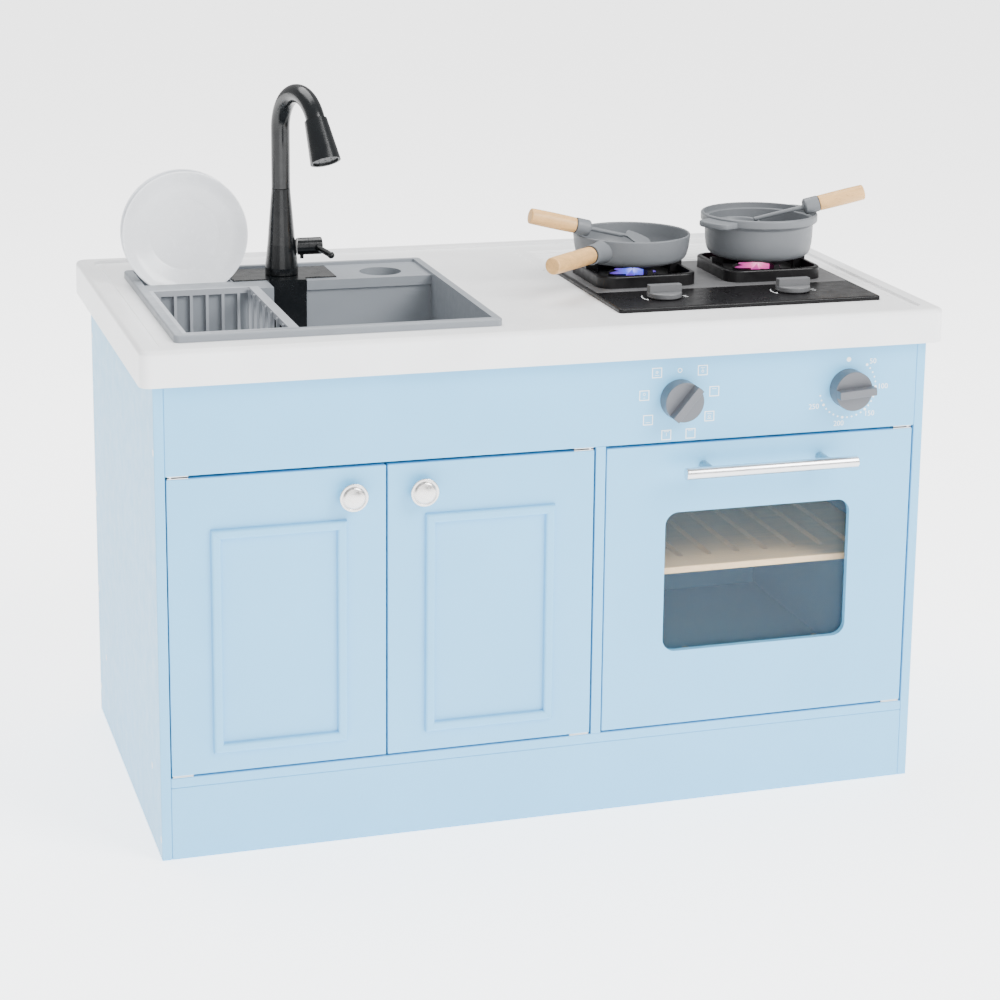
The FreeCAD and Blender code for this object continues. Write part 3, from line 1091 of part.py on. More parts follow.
# ---------------------------------------------------------------- check and write
doc.recompute()
failed = [o.Name for o in doc.Objects if "Invalid" in o.State or "Error" in o.State]
for obj in parts:
    if obj.Shape.isNull() or not obj.Shape.isValid() or not obj.Shape.Solids:
        failed.append(obj.Label)
if failed:
    raise RuntimeError("these objects failed: " + ", ".join(failed))
os.makedirs("parts", exist_ok=True)
for obj in parts:
    obj.Shape.exportStep(f"parts/{obj.Label}.step")
print(len(parts), "sub-parts written")
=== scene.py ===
import math

import bmesh
import bpy
import numpy as np
from bpy.props import FloatProperty, FloatVectorProperty, PointerProperty
from mathutils import Matrix, Vector


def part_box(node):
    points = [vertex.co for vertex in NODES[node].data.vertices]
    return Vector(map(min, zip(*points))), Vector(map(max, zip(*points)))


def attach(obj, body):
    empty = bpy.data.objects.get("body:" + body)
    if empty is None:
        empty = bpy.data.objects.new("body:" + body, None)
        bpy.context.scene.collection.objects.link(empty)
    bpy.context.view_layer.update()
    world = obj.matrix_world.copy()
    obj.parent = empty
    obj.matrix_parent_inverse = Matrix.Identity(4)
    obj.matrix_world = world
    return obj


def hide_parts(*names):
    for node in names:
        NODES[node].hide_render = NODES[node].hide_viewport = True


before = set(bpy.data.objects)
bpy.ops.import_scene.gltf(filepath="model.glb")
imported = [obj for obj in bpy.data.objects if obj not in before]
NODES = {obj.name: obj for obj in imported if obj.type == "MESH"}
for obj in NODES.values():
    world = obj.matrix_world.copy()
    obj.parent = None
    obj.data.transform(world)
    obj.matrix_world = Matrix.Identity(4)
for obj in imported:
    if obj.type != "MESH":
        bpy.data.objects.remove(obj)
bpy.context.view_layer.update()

bl_info = {
    "name": "Toy Kitchen Finishes",
    "version": (1, 0, 0),
    "blender": (4, 5, 0),
    "location": "View3D > Sidebar > Toy Kitchen",
    "description": "Detailed pieces and finishes for a toy kitchen with a sink, a hob and an oven",
    "category": "Object",
}

MM = 0.001
X, Y, Z = np.eye(3)


def corner_low(node):
    """Lowest corner of a CAD node."""
    return np.array(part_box(node)[0])


def corner_high(node):
    """Highest corner of a CAD node."""
    return np.array(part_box(node)[1])


def middle(node):
    """Middle of a CAD node's box."""
    return (corner_low(node) + corner_high(node)) / 2


def colour_value(label, note, default):
    return FloatVectorProperty(name=label, description=note, subtype="COLOR", size=3,
                               min=0, max=1, default=default)


def length_value(label, note, default):
    return FloatProperty(name=label, description=note, unit="LENGTH", subtype="DISTANCE",
                         min=0, default=default)


class ToyKitchenColours(bpy.types.PropertyGroup):
    paint: colour_value("Paint", "Painted boards of the cabinet", (0.165, 0.50, 0.80))
    worktop: colour_value("Worktop", "Moulded worktop", (0.88, 0.885, 0.89))
    sink: colour_value("Sink", "Sink and its ledges", (0.24, 0.26, 0.285))
    rack: colour_value("Rack", "Dish rack", (0.36, 0.38, 0.41))
    faucet: colour_value("Faucet", "Faucet and its deck", (0.003, 0.004, 0.005))
    hob: colour_value("Hob", "Hob plate and grates", (0.005, 0.0046, 0.0054))
    hob_print: colour_value("Hob print", "Printed field of the hob", (0.105, 0.105, 0.108))
    dial: colour_value("Dials", "Dials on the fascia", (0.098, 0.104, 0.118))
    hob_knob: colour_value("Hob knobs", "Knobs on the hob", (0.12, 0.122, 0.127))
    pan: colour_value("Cookware", "Pan, pot and utensils", (0.14, 0.15, 0.162))
    beech: colour_value("Beech", "Turned handles", (0.74, 0.43, 0.16))
    ply: colour_value("Shelf", "Oven shelf", (0.82, 0.58, 0.32))
    plate: colour_value("Plates", "Plates", (0.86, 0.885, 0.92))
    ink: colour_value("Print", "Marks round the dials", (0.92, 0.93, 0.94))
    left_flame: colour_value("Left flame", "Light of the left burner", (0.10, 0.14, 0.95))
    right_flame: colour_value("Right flame", "Light of the right burner", (0.95, 0.12, 0.45))


class ToyKitchenSizes(bpy.types.PropertyGroup):
    ring_radius: length_value("Dial ring", "Radius of the dotted ring", 0.0312)
    icon_radius: length_value("Icon ring", "Radius of the ring of symbols", 0.0381)
    icon_size: length_value("Icon", "Width of one symbol", 0.0106)
    figure_height: length_value("Figures", "Height of the dial figures", 0.0056)
    ridge_pitch: length_value("Ridge pitch", "Distance between drain ridges", 0.0174)
    print_gap: length_value("Print margin", "Black margin beside the printed field", 0.003)
    star_radius: length_value("Flame", "Reach of a flame star", 0.0265)


def colours():
    return bpy.context.scene.toy_kitchen_colours


def sizes():
    return bpy.context.scene.toy_kitchen_sizes


# ---------------------------------------------------------------- surfaces


def unit(vector):
    """A vector scaled to length one."""
    vector = np.asarray(vector, float)
    return vector / np.linalg.norm(vector)


def frame_on(axis, side=None):
    """Three unit vectors as rows: two across the axis and the axis itself."""
    axis = unit(axis)
    if side is None:
        side = X if abs(axis[0]) < 0.9 else Y
    across = unit(np.asarray(side, float) - np.dot(side, axis) * axis)
    return np.array([across, np.cross(axis, across), axis])


def rounded_outline(points, radii, steps=6):
    """Straight runs with each corner P replaced by a curve of t from 0 to 1:
    (1-t)^2 A + 2t(1-t) P + t^2 B, where A and B lie on the two runs a radius from P."""
    points = np.asarray(points, float)
    made = [points[:1]]
    t = np.linspace(0, 1, steps)[:, None]
    for i, radius in enumerate(radii, start=1):
        here, before, after = points[i], points[i - 1], points[i + 1]
        back, ahead = before - here, after - here
        reach = min(radius, 0.49 * np.linalg.norm(back), 0.49 * np.linalg.norm(ahead))
        a, b = here + unit(back) * reach, here + unit(ahead) * reach
        made.append((1 - t) ** 2 * a + 2 * t * (1 - t) * here + t ** 2 * b)
    made.append(points[-1:])
    return np.concatenate(made)


def turned(outline, foot, axis, around=96, side=None):
    """Outline points (r, h) turned about an axis: foot + r cos(a) e1 + r sin(a) e2 + h e3."""
    outline = np.asarray(outline, float)
    angle = np.linspace(0, 2 * np.pi, around, endpoint=False)
    across, over, along = frame_on(axis, side)
    ring = np.cos(angle)[:, None] * across + np.sin(angle)[:, None] * over
    return foot + outline[:, 0, None, None] * ring + outline[:, 1, None, None] * along


def pipe(path, radius, around=32, side=Z, flat=1.0):
    """A round section carried along a path: P(s) + R(s) (cos(a) e1 + flat sin(a) e2), where e1
    and e2 stand across the path's tangent. Both ends close on the path."""
    path = np.asarray(path, float)
    radius = np.broadcast_to(np.asarray(radius, float), len(path))
    tangent = np.gradient(path, axis=0)
    tangent /= np.linalg.norm(tangent, axis=1)[:, None]
    over = np.cross(tangent, side)
    over /= np.linalg.norm(over, axis=1)[:, None]
    across = np.cross(over, tangent)
    angle = np.linspace(0, 2 * np.pi, around, endpoint=False)
    rings = (np.cos(angle)[None, :, None] * across[:, None]
             + flat * np.sin(angle)[None, :, None] * over[:, None])
    grid = path[:, None] + radius[:, None, None] * rings
    ends = [np.repeat(path[k][None, None], around, axis=1) for k in (0, -1)]
    return np.concatenate([ends[0], grid, ends[1]])


def slab(outline, low, high, soft, axes=(X, Y, Z), at=(0, 0, 0), steps=5):
    """A plan outline raised from low to high with edges rounded by a quarter circle: for b from
    0 to a right angle, a row is drawn in by soft (1 - sin(b)) along the outline's normal, at
    soft (1 - cos(b)) from the nearer face."""
    outline = np.asarray(outline, float)
    ahead = np.roll(outline, -1, axis=0) - np.roll(outline, 1, axis=0)
    normal = np.stack([ahead[:, 1], -ahead[:, 0]], axis=1)
    normal /= np.linalg.norm(normal, axis=1)[:, None] + 1e-12
    b = np.linspace(0, np.pi / 2, steps)
    inset = soft * (1 - np.sin(b))
    rise = soft * (1 - np.cos(b))
    rows = np.concatenate([outline - inset[:, None, None] * normal,
                           outline - inset[::-1, None, None] * normal])
    height = np.concatenate([low + rise, high - rise[::-1]])
    centre = outline.mean(axis=0)
    lids = np.broadcast_to(centre, (1, len(outline), 2))
    rows = np.concatenate([lids, rows, lids])
    height = np.concatenate([[low], height, [high]])
    axes = np.asarray(axes, float)
    return (np.asarray(at, float) + rows[..., :1] * axes[0] + rows[..., 1:] * axes[1]
            + height[:, None, None] * axes[2])


def rounded_plan(wide, deep, corner, steps=8):
    """A rectangle about the origin with corner arcs, anticlockwise."""
    angle = np.linspace(0, np.pi / 2, steps)
    arc = corner * np.stack([np.cos(angle), np.sin(angle)], axis=1)
    w, d = wide / 2 - corner, deep / 2 - corner
    turn = np.array([[0, -1], [1, 0]])
    made, spin = [], np.eye(2)
    for cx, cy in ((w, d), (-w, d), (-w, -d), (w, -d)):
        made.append(arc @ spin.T + (cx, cy))
        spin = turn @ spin
    return np.concatenate(made)


def quads(rows, columns):
    """Faces of a grid whose columns close on themselves."""
    i = np.arange(rows - 1)[:, None] * columns
    j = np.arange(columns)[None]
    k = (j + 1) % columns
    return np.stack([i + j, i + k, i + columns + k, i + columns + j], axis=-1).reshape(-1, 4)


def piece(name, grids, body, finish, replaces=(), smooth=math.radians(38)):
    """One object from closed grids of points: doubles are merged, which closes poles and
    seams, normals point outwards, and edges sharper than the smoothing angle stay crisp."""
    points, faces, count = [], [], 0
    for grid in grids:
        rows, columns = grid.shape[:2]
        points.append(grid.reshape(-1, 3))
        faces.append(quads(rows, columns) + count)
        count += rows * columns
    mesh = bpy.data.meshes.new(name)
    mesh.from_pydata(np.concatenate(points), [], np.concatenate(faces).tolist())
    return settle(name, mesh, body, finish, replaces, smooth)


def settle(name, mesh, body, finish, replaces=(), smooth=math.radians(38)):
    """Cleans a mesh, gives it its finish and makes it ride its body."""
    work = bmesh.new()
    work.from_mesh(mesh)
    bmesh.ops.remove_doubles(work, verts=work.verts, dist=2e-6)
    bmesh.ops.dissolve_degenerate(work, edges=work.edges, dist=1e-7)
    bmesh.ops.recalc_face_normals(work, faces=work.faces)
    work.to_mesh(mesh)
    work.free()
    made = bpy.data.objects.new(name, mesh)
    bpy.context.scene.collection.objects.link(made)
    mesh.materials.append(finish)
    mesh.shade_smooth()
    mesh.set_sharp_from_angle(angle=smooth)
    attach(made, body)
    if replaces:
        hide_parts(*replaces)
    return made


# ---------------------------------------------------------------- finishes


class Finish:
    """A node material built from short calls; patterns lie on Object coordinates."""

    def __init__(self, name, base, roughness, metallic=0.0, **values):
        self.material = bpy.data.materials.new(name)
        self.material.use_nodes = True
        self.tree = self.material.node_tree
        self.shader = self.tree.nodes["Principled BSDF"]
        self.base = (*base, 1.0)
        self.set(self.shader, {"Base Color": self.base, "Roughness": roughness,
                               "Metallic": metallic, **values})
        self.place = self.add("ShaderNodeTexCoord").outputs["Object"]
        self.height = None

    def set(self, node, inputs):
        for key, value in inputs.items():
            if isinstance(value, bpy.types.NodeSocket):
                self.tree.links.new(value, node.inputs[key])
            else:
                node.inputs[key].default_value = value

    def add(self, kind, inputs=None, **settings):
        node = self.tree.nodes.new(kind)
        for key, value in settings.items():
            setattr(node, key, value)
        self.set(node, inputs or {})
        return node

    def placed(self, stretch=(1, 1, 1), turn=(0, 0, 0), shift=(0, 0, 0)):
        return self.add("ShaderNodeMapping", {"Vector": self.place, "Scale": stretch,
                                              "Rotation": turn, "Location": shift}
                        ).outputs["Vector"]

    def noise(self, scale, detail=2.0, where=None, rough=0.5, twist=0.0):
        return self.add("ShaderNodeTexNoise", {
            "Vector": where or self.place, "Scale": scale, "Detail": detail,
            "Roughness": rough, "Distortion": twist}).outputs["Fac"]

    def spread(self, value, low, high, first=0.3, last=0.7):
        """Maps a pattern's range first..last to low..high."""
        return self.add("ShaderNodeMapRange", {
            "Value": value, "From Min": first, "From Max": last, "To Min": low,
            "To Max": high}).outputs["Result"]

    def blend(self, factor, first, second, kind="MIX"):
        node = self.add("ShaderNodeMix", data_type="RGBA", blend_type=kind)
        for index, value in ((0, factor), (6, first), (7, second)):
            if isinstance(value, bpy.types.NodeSocket):
                self.tree.links.new(value, node.inputs[index])
            else:
                node.inputs[index].default_value = value
        return node.outputs[2]

    def tinted(self, factor, low=0.94, high=1.05, colour=None):
        """The base colour darkened and lightened by a pattern."""
        base = np.array(self.base[:3])
        first = (*np.clip(base * low, 0, 1), 1.0)
        second = (*(np.clip(base * high, 0, 1) if colour is None else colour), 1.0)
        return self.blend(factor, first, second)

    def colour(self, socket):
        self.set(self.shader, {"Base Color": socket})
        return self

    def rough(self, socket):
        self.set(self.shader, {"Roughness": socket})
        return self

    def bump(self, height, strength, distance):
        node = self.add("ShaderNodeBump", {"Height": height, "Strength": strength,
                                           "Distance": distance})
        if self.height is not None:
            self.set(node, {"Normal": self.height})
        self.height = node.outputs["Normal"]
        self.set(self.shader, {"Normal": self.height})
        return self


def painted_board(name, base):
    """Satin paint over board: faint roller texture, slight cloudiness, scattered specks."""
    made = Finish(name, base, 0.42, **{"Coat Weight": 0.12, "Coat Roughness": 0.3})
    cloud = made.noise(7, 3)
    fine = made.noise(240, 3)
    made.colour(made.tinted(made.spread(cloud, 0, 1), 0.965, 1.03))
    made.rough(made.spread(made.noise(60, 3), 0.36, 0.5))
    made.bump(fine, 0.04, 0.00025)
    made.bump(made.noise(150, 2), 0.05, 0.0006)
    return made.material


def moulded_plastic(name, base, roughness=0.38, grain=0.12, scale=520, coat=0.0, shine=0.5):
    """Injection-moulded plastic: spark-eroded grain, faint flow marks."""
    made = Finish(name, base, roughness, **{"Coat Weight": coat, "Coat Roughness": 0.15,
                                            "Specular IOR Level": shine})
    made.colour(made.tinted(made.spread(made.noise(14, 2), 0, 1), 0.96, 1.025))
    made.rough(made.spread(made.noise(90, 3), roughness - 0.06, roughness + 0.08))
    made.bump(made.noise(scale, 3), grain, 0.0003)
    return made.material


def brushed_metal(name, base, stretch, roughness=0.28):
    """Brushed metal: streaks drawn out along one direction."""
    made = Finish(name, base, roughness, 1.0)
    streak = made.noise(1.0, 4, made.placed(stretch), 0.65)
    made.colour(made.tinted(made.spread(streak, 0, 1), 0.86, 1.08))
    made.rough(made.spread(streak, roughness - 0.08, roughness + 0.12))
    made.bump(streak, 0.08, 0.0001)
    return made.material


def beech(name, base, along, dark=0.80):
    """Beech: soft growth bands drawn out along the grain, short dark ray flecks and pores."""
    made = Finish(name, base, 0.46, **{"Coat Weight": 0.1, "Coat Roughness": 0.35})
    turn = Vector(along).to_track_quat("X", "Z").to_matrix().inverted().to_euler()
    bands = made.noise(1.0, 5, made.placed((14, 150, 150), turn), 0.6, 0.4)
    pores = made.noise(1.0, 2, made.placed((90, 1500, 1500), turn), 0.6)
    fleck = made.noise(1.0, 2, made.placed((260, 900, 900), turn, (3, 5, 7)), 0.5)
    wood = made.tinted(made.spread(bands, 0, 1, 0.32, 0.68), dark, 1.08)
    shade = (*(np.array(base) * (0.62, 0.52, 0.42)), 1.0)
    wood = made.blend(made.spread(fleck, 0, 0.75, 0.60, 0.72), wood, shade)
    wood = made.blend(made.spread(pores, 0, 0.22, 0.5, 0.75), wood, shade)
    made.colour(wood)
    made.rough(made.spread(bands, 0.4, 0.54))
    made.bump(pores, 0.10, 0.0002)
    return made.material


def flame_light(name, tint, centre, reach):
    """Lit plastic star: white-hot heart, tint, then dark violet tips, by distance outwards."""
    made = Finish(name, tint, 0.22, **{"Coat Weight": 0.4, "Emission Strength": 1.5})
    shift = made.add("ShaderNodeVectorMath", {0: made.place, 1: tuple(centre)},
                     operation="DISTANCE").outputs["Value"]
    ramp = made.add("ShaderNodeValToRGB", {
        "Fac": made.spread(shift, 0, 1, 0.0, reach)})
    stops = ramp.color_ramp.elements
    heart = tuple(0.55 + 0.45 * c for c in tint)
    stops[0].color = (*heart, 1)
    stops[1].color = (*(0.25 * np.array(tint) + (0.05, 0, 0.06)), 1)
    body = stops.new(0.38)
    body.color = (*tint, 1)
    tip = stops.new(0.75)
    tip.color = (*(0.5 * np.array(tint) + (0.10, 0.0, 0.12)), 1)
    made.set(made.shader, {"Emission Color": ramp.outputs["Color"]})
    made.colour(ramp.outputs["Color"])
    made.bump(made.noise(300, 2), 0.08, 0.0003)
    return made.material


def clear_pane(name):
    """A clear pane seen mostly through, with a faint sheen."""
    made = Finish(name, (0.30, 0.36, 0.40), 0.06, **{"Alpha": 0.05, "IOR": 1.5})
    made.rough(made.spread(made.noise(25, 2), 0.04, 0.09))
    return made.material


SHARED = {}


def finish_of(kind):
    """The shared finish of a kind, made once."""
    if kind not in SHARED:
        c = colours()
        makers = {
            "paint": lambda: painted_board("satin_paint", c.paint),
            "worktop": lambda: moulded_plastic("white_worktop", c.worktop, 0.36, 0.22, 430),
            "sink": lambda: moulded_plastic("grey_sink", c.sink, 0.36, 0.10),
            "rack": lambda: moulded_plastic("grey_rack", c.rack, 0.36, 0.06),
            "faucet": lambda: moulded_plastic("black_faucet", c.faucet, 0.22, 0.01, 300, 0.1, 0.35),
            "hob": lambda: moulded_plastic("black_hob", c.hob, 0.30, 0.01, 300, 0.0, 0.2),
            "grate": lambda: moulded_plastic("black_grate", c.hob, 0.36, 0.03, 400, 0.0, 0.3),
            "hob_print": lambda: moulded_plastic("hob_print", c.hob_print, 0.42, 0.05, 700),
            "dial": lambda: moulded_plastic("grey_dial", c.dial, 0.40, 0.10, 800),
            "hob_knob": lambda: moulded_plastic("grey_hob_knob", c.hob_knob, 0.42, 0.10, 800),
            "pan": lambda: moulded_plastic("grey_cookware", c.pan, 0.50, 0.14, 900),
            "plate": lambda: moulded_plastic("white_plate", c.plate, 0.24, 0.03, 300, 0.35),
            "case": lambda: moulded_plastic("dark_case", (0.03, 0.03, 0.034), 0.5, 0.2),
            "ink": lambda: moulded_plastic("white_print", c.ink, 0.5, 0.05),
            "ring": lambda: moulded_plastic("dark_ring", (0.02, 0.02, 0.022), 0.45, 0.1),
            "ply": lambda: beech("beech_ply", c.ply, (0, 1, 0), 0.88),
            "batten": lambda: beech("beech_batten", c.ply, (0, 1, 0), 0.8),
            "steel": lambda: brushed_metal("brushed_handle", (0.74, 0.74, 0.75),
                                           (30, 2600, 2600), 0.24),
            "post": lambda: brushed_metal("post_steel", (0.42, 0.46, 0.48), (900, 900, 900)),
            "nickel": lambda: brushed_metal("satin_nickel", (0.72, 0.70, 0.68),
                                            (500, 500, 500), 0.27),
            "plated": lambda: brushed_metal("plated_steel", (0.66, 0.67, 0.68),
                                            (300, 300, 300), 0.34),
            "glass": lambda: clear_pane("clear_pane"),
            "circuit": lambda: moulded_plastic("green_board", (0.03, 0.16, 0.07), 0.4, 0.3),
            "cell": lambda: moulded_plastic("wrapped_cell", (0.45, 0.20, 0.03), 0.3, 0.05),
            "hose": lambda: moulded_plastic("clear_hose", (0.55, 0.60, 0.62), 0.3, 0.05),
        }
        SHARED[kind] = makers[kind]()
    return SHARED[kind]


def paint_nodes(kind, *nodes):
    """Gives CAD nodes a finish through their material slots."""
    for node in nodes:
        held = NODES[node].data.materials
        held.clear()
        held.append(finish_of(kind))


# ---------------------------------------------------------------- cabinet


class ToyKitchenCabinet(bpy.types.Operator):
    """Paint the boards, doors and mouldings, and finish the fixings"""
    bl_idname = "toy_kitchen.cabinet"
    bl_label = "Cabinet"

    def execute(self, context):
        paint_nodes("paint", "left_side_panel", "right_side_panel", "centre_divider",
                    "base_shelf", "plinth_board", "control_fascia", "back_panel",
                    "left_door_panel", "right_door_panel", "oven_door_panel",
                    "left_door_moulding", "right_door_moulding")
        paint_nodes("plated", "panel_screws", "hinge_pivots", "left_door_plates",
                    "right_door_plates", "oven_door_plates", "oven_window_clips")
        paint_nodes("case", "magnet_catches")
        return {"FINISHED"}


class ToyKitchenDoorKnobs(bpy.types.Operator):
    """Turn the two domed door knobs in satin nickel"""
    bl_idname = "toy_kitchen.door_knobs"
    bl_label = "Door knobs"

    def execute(self, context):
        for side in ("left", "right"):
            node = f"{side}_door_knob"
            low, high = corner_low(node), corner_high(node)
            centre = middle(node)
            proud = corner_low(f"{side}_door_panel")[1] - low[1]
            foot = np.array([centre[0], low[1] + proud, centre[2]])
            r = (high[2] - low[2]) / 2
            outline = rounded_outline(
                [(0, -4 * MM), (3.9 * MM, -4 * MM), (3.9 * MM, 0.05 * MM), (6.9 * MM, 0.05 * MM),
                 (4.8 * MM, 3 * MM), (4.8 * MM, 6.2 * MM), (r - 1.4 * MM, 8.6 * MM),
                 (r, 10.2 * MM), (r - 0.4 * MM, 12.4 * MM), (r - 2.4 * MM, 12.5 * MM),
                 (r - 3.0 * MM, 12.0 * MM), (r - 4.6 * MM, 13.9 * MM),
                 (4 * MM, proud - 0.2 * MM), (0, proud)],
                [0, 0, 0, 1.2 * MM, 2 * MM, 3 * MM, 1.6 * MM, 1.2 * MM, 0.5 * MM, 0.3 * MM,
                 1.4 * MM, 4 * MM])
            piece(f"{side}_knob_turning", [turned(outline, foot, -Y)], f"{side}_door",
                  finish_of("nickel"), (node,))
        return {"FINISHED"}


# ---------------------------------------------------------------- oven


class ToyKitchenOven(bpy.types.Operator):
    """Finish the oven's shelf, window and handle"""
    bl_idname = "toy_kitchen.oven"
    bl_label = "Oven"

    def execute(self, context):
        paint_nodes("ply", "oven_shelf")
        paint_nodes("batten", "shelf_battens")
        paint_nodes("glass", "oven_window")
        paint_nodes("post", "oven_handle_posts")
        low, high = corner_low("oven_handle_bar"), corner_high("oven_handle_bar")
        centre = middle("oven_handle_bar")
        r, length = (high[2] - low[2]) / 2, high[0] - low[0]
        r = min(r, 6 * MM)
        outline = rounded_outline([(0, 0), (r, 0), (r, length), (0, length)],
                                  [1.2 * MM, 1.2 * MM], 7)
        foot = np.array([low[0], centre[1], centre[2]])
        piece("oven_handle_tube", [turned(outline, foot, X, 64)], "oven_door",
              finish_of("steel"), ("oven_handle_bar",))
        return {"FINISHED"}


# ---------------------------------------------------------------- prints


def dot(spot, radius, low, high, axes, steps=20):
    """A flat round mark: spot + radius (cos(a), sin(a)), from low to high along the axis."""
    angle = np.linspace(0, 2 * np.pi, steps, endpoint=False)
    plan = spot + radius * np.stack([np.cos(angle), np.sin(angle)], axis=1)
    return slab(plan, low, high, min(0.03 * MM, radius / 4), axes, steps=2)


def stroke(start, end, width, low, high, axes):
    """A flat straight mark between two points."""
    start, end = np.asarray(start, float), np.asarray(end, float)
    run = unit(end - start)
    over = np.array([-run[1], run[0]]) * width / 2
    plan = np.array([start + over, start - over, end - over, end + over])
    return slab(plan, low, high, 0.0, axes, steps=2)


def strokes(points, width, low, high, axes):
    """Flat straight marks through several points."""
    return [stroke(a, b, width, low, high, axes) for a, b in zip(points[:-1], points[1:])]


def figures(text, height, spot, origin, axes, proud):
    """Figures as a thin raised print whose middle is at spot, as points and faces."""
    curve = bpy.data.curves.new("figures", "FONT")
    curve.body = text
    curve.size = height * 1.4
    curve.extrude = proud / 2
    curve.resolution_u = 3
    curve.align_x, curve.align_y = "CENTER", "CENTER"
    holder = bpy.data.objects.new("figures", curve)
    bpy.context.scene.collection.objects.link(holder)
    bpy.context.view_layer.update()
    seen = holder.evaluated_get(bpy.context.evaluated_depsgraph_get())
    mesh = bpy.data.meshes.new_from_object(seen)
    bpy.data.objects.remove(holder)
    local = np.empty(len(mesh.vertices) * 3)
    mesh.vertices.foreach_get("co", local)
    local = local.reshape(-1, 3)
    local[:, :2] += spot
    local[:, 2] += proud / 2
    return origin + local @ np.array(axes), [list(p.vertices) for p in mesh.polygons]


class ToyKitchenDials(bpy.types.Operator):
    """Finish both dials and print the marks, figures and symbols round them"""
    bl_idname = "toy_kitchen.dials"
    bl_label = "Dials"

    def execute(self, context):
        paint_nodes("dial", "mode_knob", "temperature_knob")
        size = sizes()
        axes = (X, Z, -Y)
        face = corner_low("control_fascia")[1]
        sunk, proud = -0.05 * MM, 0.12 * MM

        centre = middle("temperature_knob")
        origin = np.array([centre[0], face, centre[2]])
        local = []
        ring = size.ring_radius
        for step in range(23):
            turn = math.radians(41.5 + 9.84 * step)
            main = step % 5 == 0
            spot = ring * np.array([math.sin(turn), math.cos(turn)])
            local.append(dot(spot, (1.45 if main else 0.95) * MM, sunk, proud, axes))
        local.append(dot(np.array([0, ring - 1.1 * MM]), 2.5 * MM, sunk, proud, axes, 28))
        points, faces, count = [], [], 0
        for grid in local:
            rows, columns = grid.shape[:2]
            points.append(grid.reshape(-1, 3) + origin)
            faces += (quads(rows, columns) + count).tolist()
            count += rows * columns
        spots = {"50": (27.2, 26.7), "100": (39.4, -0.6), "150": (25.4, -28.7),
                 "200": (-8.8, -37.3), "250": (-37.3, -17.7)}
        for figure, spot in spots.items():
            made, polygons = figures(figure, size.figure_height, np.array(spot) * MM, origin, axes,
                                     proud)
            points.append(made)
            faces += [[v + count for v in p] for p in polygons]
            count += len(made)
        mesh = bpy.data.meshes.new("temperature_print")
        mesh.from_pydata(np.concatenate(points), [], faces)
        settle("temperature_print", mesh, "cabinet", finish_of("ink"))

        centre = middle("mode_knob")
        origin = np.array([centre[0], face, centre[2] - 1 * MM])
        half, line = size.icon_size / 2, 0.9 * MM
        marks = []
        angle = np.linspace(0, 2 * np.pi, 17)
        small = 2.1 * MM * np.stack([np.sin(angle), np.cos(angle)], axis=1)
        marks += strokes(small + (0, ring - 0.8 * MM), 0.8 * MM, sunk, proud, axes)
        zig = np.stack([np.linspace(-2.6, 2.6, 7), np.array([0, -1, 0, -1, 0, -1, 0])],
                       axis=1) * MM + (0, half - 1.3 * MM)
        fan = 1.25 * MM * np.stack([np.sin(angle[::2]), np.cos(angle[::2])], axis=1)
        low_bar = np.array([(-2.4, -2.6), (2.4, -2.6)]) * MM
        high_bar = np.array([(-2.4, 2.6), (2.4, 2.6)]) * MM
        upright = np.array([(0, 1.9), (0, -1.2)]) * MM
        symbols = {
            1: [fan + (0, -1.1 * MM), upright, high_bar], 2: [high_bar],
            3: [fan + (0, -0.4 * MM), high_bar, low_bar], 4: [zig], 5: [zig, upright],
            6: [low_bar], 7: [fan + (0, 1.1 * MM), low_bar * (0.4, 1)],
            8: [fan + (0, 0.6 * MM), upright * (1, 0.8), low_bar],
        }
        for place, lines in symbols.items():
            turn = math.radians(40 * place)
            spot = size.icon_radius * np.array([math.sin(turn), math.cos(turn)])
            box = np.array([(-1, -1), (1, -1), (1, 1), (-1, 1), (-1, -1)]) * (half - line / 2)
            grown = [box[0] - (line / 2, 0), box[1] + (line / 2, 0)]
            marks += strokes([grown[0] + spot, grown[1] + spot], line, sunk, proud, axes)
            grown = [box[3] - (line / 2, 0), box[2] + (line / 2, 0)]
            marks += strokes([grown[0] + spot, grown[1] + spot], line, sunk, proud, axes)
            for a, b in ((0, 3), (1, 2)):
                inner = (0, line / 2)
                marks += strokes([box[a] + inner + spot, box[b] - inner + spot], line, sunk,
                                 proud, axes)
            for points in lines:
                marks += strokes(np.asarray(points) + spot, 0.45 * MM, sunk, proud - 0.02 * MM,
                                 axes)
        piece("mode_print", [grid + origin for grid in marks], "cabinet",
              finish_of("ink"))
        return {"FINISHED"}


# ---------------------------------------------------------------- worktop


